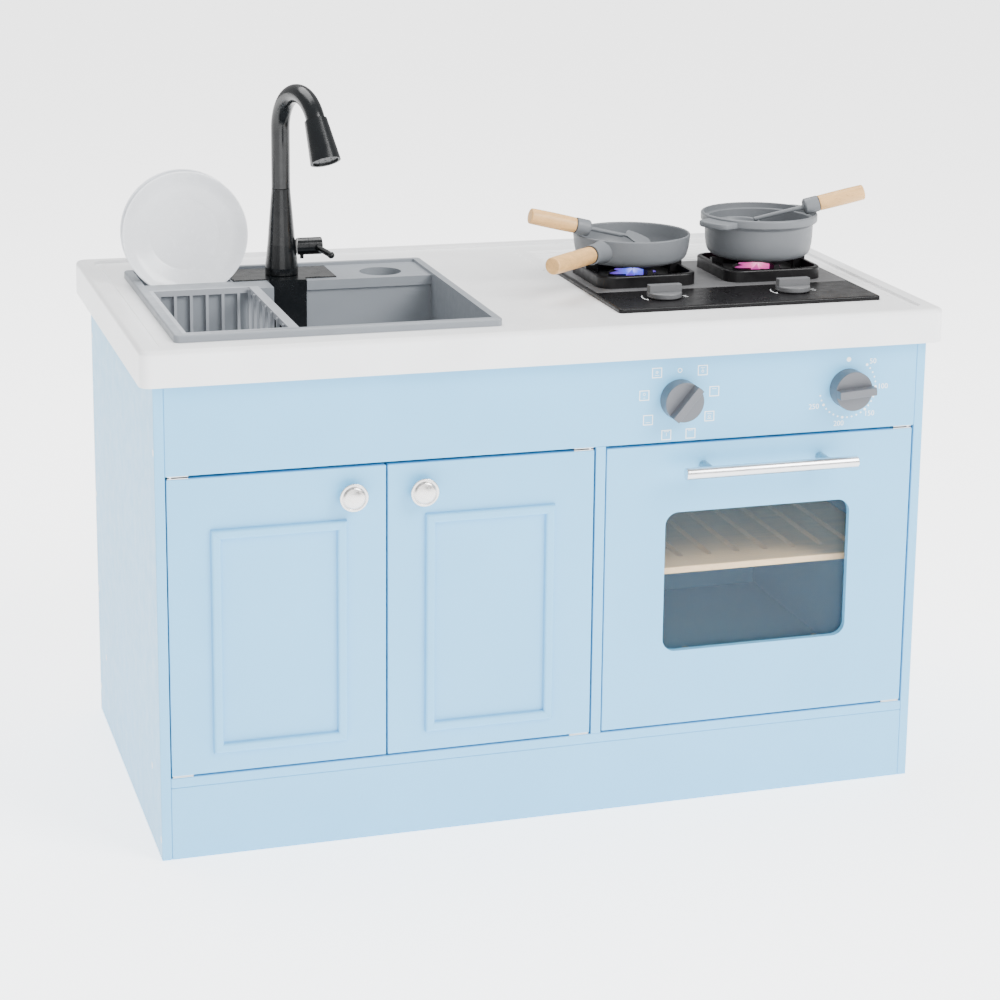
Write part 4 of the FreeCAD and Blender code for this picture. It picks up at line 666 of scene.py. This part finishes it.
class ToyKitchenWorktop(bpy.types.Operator):
    """Finish the worktop and raise its drain ridges, dots and border lines"""
    bl_idname = "toy_kitchen.worktop"
    bl_label = "Worktop"

    def execute(self, context):
        paint_nodes("worktop", "worktop")
        low, high = corner_low("worktop"), corner_high("worktop")
        deck = corner_low("hob_plate")[2]
        hob_low, hob_high = corner_low("hob_plate"), corner_high("hob_plate")
        pitch = sizes().ridge_pitch
        first = hob_high[1] + 7 * MM
        start = hob_low[0] - 8 * MM
        ridges, count = [], 7
        for i in range(count):
            y = first + i * pitch
            dome = rounded_outline([(0, -0.3 * MM), (2.6 * MM, -0.3 * MM), (1.9 * MM, 0.8 * MM),
                                    (0, 1.1 * MM)], [0.3 * MM, 1.2 * MM])
            ridges.append(turned(dome, np.array([start, y, deck]), Z, 24))
            for side in (-3.2 * MM, 3.2 * MM):
                run = np.linspace(start + 13 * MM, high[0] - 40 * MM, 40)
                path = np.stack([run, np.full_like(run, y + side),
                                 np.full_like(run, deck - 0.35 * MM)], axis=1)
                swell = 1.15 * MM * np.clip(np.minimum(run - run[0], run[-1] - run) / (6 * MM),
                                            0.02, 1) ** 0.5
                ridges.append(pipe(path, swell, 12))
        piece("drain_ridges", ridges, "cabinet", finish_of("worktop"))

        inset = 24 * MM
        plan = rounded_plan(high[0] - low[0] - 2 * inset, high[1] - low[1] - 2 * inset, 9 * MM, 10)
        centre = (low + high) / 2
        closed = np.column_stack([plan + centre[:2], np.full(len(plan), deck - 0.55 * MM)])
        section = np.stack([np.cos(np.linspace(0, 2 * np.pi, 12, endpoint=False)),
                            np.sin(np.linspace(0, 2 * np.pi, 12, endpoint=False))], axis=1)
        ahead = np.roll(closed, -1, axis=0) - np.roll(closed, 1, axis=0)
        out = np.stack([ahead[:, 1], -ahead[:, 0], np.zeros(len(ahead))], axis=1)
        out /= np.linalg.norm(out, axis=1)[:, None]
        rings = (closed[:, None] + 1.5 * MM * section[None, :, :1] * out[:, None]
                 + 1.0 * MM * section[None, :, 1:] * Z)
        ring = np.concatenate([rings, rings[:1]])
        piece("border_bead", [ring], "cabinet", finish_of("worktop"))
        return {"FINISHED"}


class ToyKitchenSink(bpy.types.Operator):
    """Finish the sink and the dish rack"""
    bl_idname = "toy_kitchen.sink"
    bl_label = "Sink"

    def execute(self, context):
        paint_nodes("sink", "sink_basin")
        paint_nodes("rack", "dish_rack")
        return {"FINISHED"}


class ToyKitchenFaucet(bpy.types.Operator):
    """Finish the faucet, its pump and its supply tube"""
    bl_idname = "toy_kitchen.faucet"
    bl_label = "Faucet"

    def execute(self, context):
        paint_nodes("faucet", "faucet_deck", "faucet_column", "valve_body", "faucet_spout",
                    "spray_head", "nozzle_plate", "faucet_lever")
        paint_nodes("case", "water_pump")
        paint_nodes("hose", "supply_tube")
        return {"FINISHED"}


# ---------------------------------------------------------------- hob


def burner_centre(side):
    """Middle of a burner on the hob's top."""
    centre = middle(f"flame_lens_{side}")
    centre[2] = corner_high("flame_lens_left")[2]
    return centre


class ToyKitchenHob(bpy.types.Operator):
    """Finish the hob, print its grey field and knob marks, and light both burners"""
    bl_idname = "toy_kitchen.hob"
    bl_label = "Hob"

    def execute(self, context):
        c, size = colours(), sizes()
        paint_nodes("hob", "hob_plate")
        paint_nodes("grate", "burner_grates")
        paint_nodes("case", "hob_housing", "battery_cover", "flame_lens_left",
                    "flame_lens_right", "speaker")
        paint_nodes("circuit", "circuit_board")
        paint_nodes("cell", "batteries")
        paint_nodes("hob_knob", "hob_knob_left", "hob_knob_right")
        low, high = corner_low("hob_plate"), corner_high("hob_plate")
        top = high[2]
        gap = size.print_gap
        near = corner_low("burner_grates")[1] - 14.5 * MM
        wide, deep = high[0] - low[0] - 2 * gap, high[1] - gap - near
        centre = np.array([(low[0] + high[0]) / 2, near + deep / 2, top])
        field = slab(rounded_plan(wide, deep, 2 * MM), -0.1 * MM, 0.12 * MM, 0.05 * MM,
                     at=centre, steps=3)
        piece("hob_field", [field], "cabinet", finish_of("hob_print"))

        marks = []
        for knob in ("hob_knob_left", "hob_knob_right"):
            spot = middle(knob)[:2]
            angle = np.radians(np.linspace(150, 205, 8))
            arc = spot + 23.5 * MM * np.stack([np.cos(angle), np.sin(angle)], axis=1)
            marks += strokes(arc, 1.0 * MM, -0.05 * MM, 0.12 * MM, (X, Y, Z))
            for tilt in (-8, 6):
                turn = math.radians(tilt)
                way = np.array([math.cos(turn), math.sin(turn)])
                near_end = spot + way * 21 * MM
                marks.append(stroke(near_end, near_end + way * 4.5 * MM, 0.9 * MM, -0.05 * MM,
                                    0.12 * MM, (X, Y, Z)))
            marks.append(dot(spot + (-20.5 * MM, -6.5 * MM), 0.8 * MM, -0.05 * MM, 0.12 * MM,
                             (X, Y, Z)))
        piece("hob_marks", [grid + (0, 0, top) for grid in marks], "cabinet",
              finish_of("ink"))

        for side, tint in (("left", c.left_flame), ("right", c.right_flame)):
            centre = burner_centre(side)
            reach = size.star_radius
            angle = np.linspace(0, 2 * np.pi, 120, endpoint=False)
            points = 6
            lobe = (0.5 + 0.5 * np.cos(points * angle)) ** 1.6
            plan_radius = reach * (0.46 + 0.54 * lobe)
            shares = np.array([1.0, 0.985, 0.93, 0.8, 0.62, 0.42, 0.22, 0.08, 0.0])
            lift = np.array([0.0, 0.5, 0.9, 1.3, 1.8, 2.6, 3.6, 4.2, 4.3]) * MM
            crease = 1 + 0.35 * (lobe - 0.5)
            ring = np.stack([np.cos(angle), np.sin(angle)], axis=1)
            rows = [np.column_stack([ring * (plan_radius * s)[:, None],
                                     h * (crease if 0.05 < s < 0.95 else np.ones_like(crease))])
                    for s, h in zip(shares, lift)]
            foot = np.column_stack([ring * plan_radius[:, None], np.full(len(ring), -0.4 * MM)])
            heart = np.column_stack([ring * 0, np.full(len(ring), -0.4 * MM)])
            grid = np.stack([heart, foot, *rows]) + centre
            piece(f"flame_star_{side}", [grid], "cabinet",
                  flame_light(f"{side}_flame", tint, centre, reach), smooth=math.radians(55))
        return {"FINISHED"}


# ---------------------------------------------------------------- cookware

PAN_RADIUS, PAN_TURN = 63.2 * MM, math.radians(220)
POT_RADIUS, POT_RIM_RADIUS, EAR_TURN = 59 * MM, 63.5 * MM, math.radians(28)
SPATULA_FALL, LADLE_FALL = math.radians(13.6), math.radians(13)
PLATE_RADIUS, PLATE_LEAN = 66 * MM, math.radians(10)


def rest_height():
    """Height at which pans stand on the grates."""
    return corner_high("burner_grates")[2]


def grip(name, foot, way, radius, length, body, node):
    """A turned beech handle with softened ends, slightly fuller in the middle."""
    share = np.linspace(0, 1, 16)[1:-1]
    swell = radius * (0.97 + 0.03 * np.sin(np.pi * share))
    end = rounded_outline([(0, 0), (radius * 0.97, 0), (radius * 0.97, 4 * MM)], [1.6 * MM])[:-1]
    body_rows = np.column_stack([swell, share * length])
    far = end[::-1] * (1, -1) + (0, length)
    outline = np.concatenate([end, body_rows[1:-1], far])
    return piece(name, [turned(outline, foot, way, 64)], body,
                 beech(name + "_wood", colours().beech, way), (node,))


class ToyKitchenPan(bpy.types.Operator):
    """Shape the frying pan with its socket, ring and beech handle"""
    bl_idname = "toy_kitchen.pan"
    bl_label = "Frying pan"

    def execute(self, context):
        high = corner_high("frying_pan")
        r, rest = PAN_RADIUS, rest_height()
        tall = high[2] - rest
        centre = np.array([high[0] - r, high[1] - r, rest])
        outline = rounded_outline(
            [(0, 0.9 * MM), (34 * MM, 0.9 * MM), (35 * MM, 0), (45.5 * MM, 0), (58 * MM, 4 * MM),
             (61.4 * MM, 14 * MM), (r, tall - 1.2 * MM), (r - 1.3 * MM, tall),
             (r - 2.6 * MM, tall - 1.2 * MM), (59 * MM, 14 * MM), (55.5 * MM, 6 * MM),
             (44.5 * MM, 2.6 * MM), (0, 2.5 * MM)],
            [0.5 * MM, 0.5 * MM, 8 * MM, 8 * MM, 6 * MM, 1 * MM, 1.1 * MM, 1 * MM, 6 * MM,
             7 * MM, 7 * MM], 8)
        bowl = turned(outline, centre, Z, 160)
        way = np.array([math.cos(PAN_TURN), math.sin(PAN_TURN), 0])
        axis_foot = centre + (0, 0, 18 * MM)
        socket = rounded_outline(
            [(0, 60 * MM), (12.6 * MM, 60 * MM), (11.4 * MM, 66 * MM), (10.7 * MM, 73 * MM),
             (10.6 * MM, 84 * MM), (0, 84 * MM)],
            [0.1 * MM, 4 * MM, 4 * MM, 0.8 * MM], 8)
        piece("pan_shell", [bowl, turned(socket, axis_foot, way, 64, Z)], "pan",
              finish_of("pan"), ("frying_pan",))
        ring = rounded_outline([(0, 0), (9.6 * MM, 0), (9.6 * MM, 1.3 * MM), (0, 1.3 * MM)],
                               [0.3 * MM, 0.3 * MM])
        piece("pan_ring", [turned(ring, axis_foot + way * 83.6 * MM, way, 48)], "pan",
              finish_of("ring"))
        grip("pan_grip", axis_foot + way * 84.6 * MM, way, 9.3 * MM, 74.2 * MM, "pan",
             "frying_pan_handle")
        return {"FINISHED"}


class ToyKitchenPot(bpy.types.Operator):
    """Shape the pot with its rim band, lid ledge and two ears"""
    bl_idname = "toy_kitchen.pot"
    bl_label = "Pot"

    def execute(self, context):
        low, high = corner_low("cooking_pot"), corner_high("cooking_pot")
        rest = rest_height()
        tall = high[2] - rest
        centre = np.array([(low[0] + high[0]) / 2, (low[1] + high[1]) / 2, rest])
        r, rim, band = POT_RADIUS, POT_RIM_RADIUS, tall - 9.5 * MM
        outline = rounded_outline(
            [(0, 0.9 * MM), (31 * MM, 0.9 * MM), (32 * MM, 0), (42 * MM, 0),
             (r - 3.2 * MM, 4.4 * MM), (r - 0.6 * MM, 18 * MM), (r, band - 2 * MM),
             (rim - 1.4 * MM, band), (rim, band + 1.2 * MM), (rim, tall - 1.2 * MM),
             (rim - 1.2 * MM, tall), (rim - 3 * MM, tall), (rim - 3.3 * MM, tall - 6 * MM),
             (r - 3 * MM, tall - 6.2 * MM), (r - 3.2 * MM, 18 * MM), (r - 6.5 * MM, 7 * MM),
             (41 * MM, 3 * MM), (0, 3 * MM)],
            [0.5 * MM, 0.5 * MM, 8 * MM, 8 * MM, 6 * MM, 1.6 * MM, 0.7 * MM, 0.8 * MM, 0.9 * MM,
             0.9 * MM, 0.9 * MM, 0.5 * MM, 0.7 * MM, 7 * MM, 7 * MM, 8 * MM], 7)
        bowl = turned(outline, centre, Z, 160)
        ears = []
        for side in (-1, 1):
            turn = np.linspace(-np.pi / 2, np.pi / 2, 24)
            bow = 15.8 * MM * np.sign(np.cos(turn)) * np.abs(np.cos(turn)) ** 0.4
            plan = np.stack([side * (66 * MM + bow), 20.6 * MM * np.sin(turn)], axis=1)
            back = np.stack([np.full(6, side * 59.5 * MM), np.linspace(20.6, -20.6, 6) * MM],
                            axis=1)
            plan = np.concatenate([plan, back])
            plan = plan if side > 0 else plan[::-1]
            plan = plan @ np.array([(math.cos(EAR_TURN), math.sin(EAR_TURN)),
                                    (-math.sin(EAR_TURN), math.cos(EAR_TURN))])
            ears.append(slab(plan, band, band + 6.8 * MM, 2.2 * MM, at=centre, steps=6))
        piece("pot_shell", [bowl, *ears], "pot", finish_of("pan"), ("cooking_pot",))
        return {"FINISHED"}


class ToyKitchenUtensils(bpy.types.Operator):
    """Shape the spatula in the pan and the ladle in the pot"""
    bl_idname = "toy_kitchen.utensils"
    bl_label = "Utensils"

    def execute(self, context):
        rest = rest_height()
        pan_high = corner_high("frying_pan")
        pan_centre = pan_high[:2] - PAN_RADIUS
        fall = SPATULA_FALL
        way = np.array([math.cos(fall), 0, -math.sin(fall)])
        start = np.array([pan_centre[0] - 118 * MM, pan_centre[1] - 11 * MM, rest + 54.5 * MM])
        self.tool("spatula", start, way, 38 * MM, "spatula")
        root = start + way * 104 * MM
        self.blade(root, way)

        pot = middle("cooking_pot")
        fall = LADLE_FALL
        way = unit([-math.cos(fall), 0.12, -math.sin(fall)])
        start = np.array([pot[0] + 109 * MM, pot[1] - 30 * MM, rest + 71 * MM])
        self.tool("ladle", start, way, 56 * MM, "ladle")
        self.scoop(start + way * 142 * MM + (0, 0, 3.5 * MM))
        return {"FINISHED"}

    def tool(self, tag, start, way, shaft, body):
        grip(f"{tag}_grip", start, way, 8.6 * MM, 51.6 * MM, body, f"{tag}_handle")
        ring = rounded_outline([(0, 0), (8.2 * MM, 0), (8.2 * MM, 1.0 * MM), (0, 1.0 * MM)],
                               [0.3 * MM, 0.3 * MM])
        piece(f"{tag}_ring", [turned(ring, start + way * 51.4 * MM, way, 48)], body,
              finish_of("ring"))
        ferrule = rounded_outline(
            [(0, 0), (8.8 * MM, 0), (8.7 * MM, 14.6 * MM), (7.2 * MM, 16 * MM),
             (2.9 * MM, 16.4 * MM), (2.4 * MM, 19 * MM), (2.3 * MM, 17 * MM + shaft),
             (0, 17 * MM + shaft)],
            [0.7 * MM, 1.5 * MM, 0.6 * MM, 1.5 * MM, 2 * MM, 0.8 * MM], 7)
        self.metal = turned(ferrule, start + way * 52.2 * MM, way, 48)

    def blade(self, root, way):
        """A thin blade: width w(u), laid along a line that levels out, turned over by a tilt
        that grows with u, and cupped by the square of v."""
        u = np.linspace(0, 1, 30)
        v = np.linspace(-1, 1, 21)
        wide = 17 * MM * np.clip(0.14 + 1.5 * np.sin(np.clip(u, 0, 0.42) / 0.42 * np.pi / 2)
                                 ** 1.5 - 0.64, 0.14, 1.0)
        wide = np.where(u > 0.9, wide * np.sqrt(np.clip(1 - ((u - 0.9) / 0.1) ** 2 * 0.35, 0, 1)),
                        wide)
        drop = np.radians(13.6 + 9 * u)
        run = np.cumsum(np.concatenate([[0], np.full(29, 41 * MM / 29)]))
        line = root + np.stack([run * np.cos(drop), 0 * run, -run * np.sin(drop)], axis=1)
        tilt = np.radians(14 + 6 * u)
        across = np.stack([0 * tilt, np.cos(tilt), np.sin(tilt)], axis=1)
        up = np.stack([np.sin(drop), -np.sin(tilt), np.cos(tilt)], axis=1)
        cup = 1.4 * MM * (v ** 2)[None, :, None]
        mid = line[:, None] + wide[:, None, None] * v[None, :, None] * across[:, None] \
            + cup * up[:, None]
        thick = 0.95 * MM * np.sqrt(np.clip(1 - (np.abs(v) ** 8), 0.02, 1))[None, :, None]
        thick = thick * np.clip(np.minimum(u / 0.03, (1 - u) / 0.03), 0.15, 1)[:, None, None]
        upper, lower = mid + thick * up[:, None], mid - thick * up[:, None]
        ring = np.concatenate([upper, lower[:, ::-1]], axis=1)
        ends = [np.repeat(ring[k].mean(axis=0)[None, None], ring.shape[1], axis=1)
                for k in (0, -1)]
        grid = np.concatenate([ends[0], ring, ends[1]])
        piece("spatula_blade_shape", [self.metal, grid], "spatula", finish_of("pan"),
              ("spatula_blade",))

    def scoop(self, centre):
        """A shallow bowl turned about the vertical, with a rolled lip."""
        r = 22 * MM
        outline = rounded_outline(
            [(0, -16.3 * MM), (8 * MM, -15.9 * MM), (18.6 * MM, -10 * MM), (r, -0.8 * MM),
             (r - 0.4 * MM, 0.3 * MM), (r - 1.8 * MM, -0.6 * MM), (16.8 * MM, -9 * MM),
             (7 * MM, -14.2 * MM), (0, -14.5 * MM)],
            [4 * MM, 9 * MM, 0.6 * MM, 0.5 * MM, 0.8 * MM, 8 * MM, 4 * MM], 8)
        piece("ladle_shape", [self.metal, turned(outline, centre, Z, 96)], "ladle",
              finish_of("pan"), ("ladle_bowl",))


class ToyKitchenPlates(bpy.types.Operator):
    """Shape the two plates that lean in the drainer"""
    bl_idname = "toy_kitchen.plates"
    bl_label = "Plates"

    def execute(self, context):
        lean = PLATE_LEAN
        up = np.array([0, math.sin(lean), math.cos(lean)])
        out = np.array([0, -math.cos(lean), math.sin(lean)])
        outline = rounded_outline(
            [(0, 0.8 * MM), (29 * MM, 0.8 * MM), (30 * MM, 0), (36 * MM, 0), (38.5 * MM, 0.5 * MM),
             (56 * MM, 4.6 * MM), (65.6 * MM, 11.2 * MM), (65.9 * MM, 12.2 * MM),
             (64.4 * MM, 12.6 * MM), (55 * MM, 6.8 * MM), (38 * MM, 2.9 * MM),
             (36.6 * MM, 2.5 * MM), (0, 2.4 * MM)],
            [0.4 * MM, 0.5 * MM, 1.5 * MM, 2 * MM, 12 * MM, 0.5 * MM, 0.7 * MM, 0.6 * MM,
             12 * MM, 1.2 * MM, 0.9 * MM], 8)
        for tag, body in (("front", "front_plate"), ("back", "rear_plate")):
            node = f"plate_{tag}"
            low, high = corner_low(node), corner_high(node)
            r = PLATE_RADIUS
            rim_centre = np.array([(low[0] + high[0]) / 2, 0, 0])
            rim_centre[2] = (low[2] + high[2]) / 2
            rim_centre[1] = low[1] + r * math.sin(lean) + 0.4 * MM
            foot = rim_centre - out * 12.2 * MM
            piece(f"{tag}_plate_shape", [turned(outline, foot, out, 160, up)], body,
                  finish_of("plate"), (node,))
        return {"FINISHED"}


# ---------------------------------------------------------------- stage


class ToyKitchenStage(bpy.types.Operator):
    """Set the floor, the soft lights and the camera"""
    bl_idname = "toy_kitchen.stage"
    bl_label = "Stage"

    def execute(self, context):
        floor = bpy.data.meshes.new("studio_floor")
        reach = 16.0
        grid = np.array([(-reach, -reach, 0), (reach, -reach, 0), (reach, reach, 0),
                         (-reach, reach, 0)])
        floor.from_pydata(grid, [], [[0, 1, 2, 3]])
        board = bpy.data.objects.new("studio_floor", floor)
        context.scene.collection.objects.link(board)
        pale = Finish("pale_floor", (0.93, 0.93, 0.94), 0.7, **{"Emission Strength": 2.6})
        pale.colour(pale.tinted(pale.noise(0.6, 2), 0.985, 1.0))
        floor.materials.append(pale.material)

        world = bpy.data.worlds.new("studio")
        world.use_nodes = True
        sky = world.node_tree.nodes["Background"]
        sky.inputs["Color"].default_value = (1.0, 1.0, 1.0, 1)
        sky.inputs["Strength"].default_value = 0.7
        context.scene.world = world
        aim = Vector((0, 0, 0.35))
        for name, spot, size, power in (
                ("key_light", (2.1, -2.7, 3.0), 2.2, 250),
                ("fill_light", (-0.6, -3.6, 1.2), 2.6, 45),
                ("top_light", (-0.4, 0.9, 3.2), 2.4, 130)):
            lamp = bpy.data.lights.new(name, "AREA")
            lamp.shape, lamp.size, lamp.energy = "SQUARE", size, power
            holder = bpy.data.objects.new(name, lamp)
            context.scene.collection.objects.link(holder)
            holder.location = spot
            holder.rotation_euler = (aim - Vector(spot)).to_track_quat("-Z", "Y").to_euler()

        data = bpy.data.cameras.new("camera")
        data.sensor_width, data.lens = 36, 91.42
        data.shift_x, data.shift_y = -0.10, -0.15
        camera = bpy.data.objects.new("camera", data)
        context.scene.collection.objects.link(camera)
        yaw, pitch, roll = (math.radians(a) for a in (18.919, 12.995, 1.105))
        ahead = Vector((math.sin(yaw) * math.cos(pitch), math.cos(yaw) * math.cos(pitch),
                        -math.sin(pitch)))
        right = Vector((math.cos(yaw), -math.sin(yaw), 0))
        up = right.cross(ahead)
        across = math.cos(roll) * right + math.sin(roll) * up
        over = math.cos(roll) * up - math.sin(roll) * right
        pose = Matrix((across, over, -ahead)).transposed().to_4x4()
        pose.translation = Vector((-0.7523, -2.5270, 1.0549))
        camera.matrix_world = pose
        context.scene.camera = camera
        return {"FINISHED"}


PIECES = (ToyKitchenCabinet, ToyKitchenDoorKnobs, ToyKitchenOven, ToyKitchenDials,
          ToyKitchenWorktop, ToyKitchenSink, ToyKitchenFaucet, ToyKitchenHob, ToyKitchenPan,
          ToyKitchenPot, ToyKitchenUtensils, ToyKitchenPlates, ToyKitchenStage)


class ToyKitchenPanel(bpy.types.Panel):
    """Lists the pieces, their colours and their sizes"""
    bl_idname = "VIEW3D_PT_toy_kitchen"
    bl_label = "Toy Kitchen"
    bl_space_type = "VIEW_3D"
    bl_region_type = "UI"
    bl_category = "Toy Kitchen"

    def draw(self, context):
        for made in PIECES:
            self.layout.operator(made.bl_idname)
        for group in (colours(), sizes()):
            for key in group.__annotations__:
                self.layout.prop(group, key)


CLASSES = (ToyKitchenColours, ToyKitchenSizes, *PIECES, ToyKitchenPanel)


def register():
    for made in CLASSES:
        bpy.utils.register_class(made)
    bpy.types.Scene.toy_kitchen_colours = PointerProperty(type=ToyKitchenColours)
    bpy.types.Scene.toy_kitchen_sizes = PointerProperty(type=ToyKitchenSizes)


def unregister():
    del bpy.types.Scene.toy_kitchen_colours
    del bpy.types.Scene.toy_kitchen_sizes
    for made in reversed(CLASSES):
        bpy.utils.unregister_class(made)


def main():
    register()
    for made in PIECES:
        group, call = made.bl_idname.split(".")
        getattr(getattr(bpy.ops, group), call)()
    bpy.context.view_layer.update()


if __name__ == "__main__":
    main()
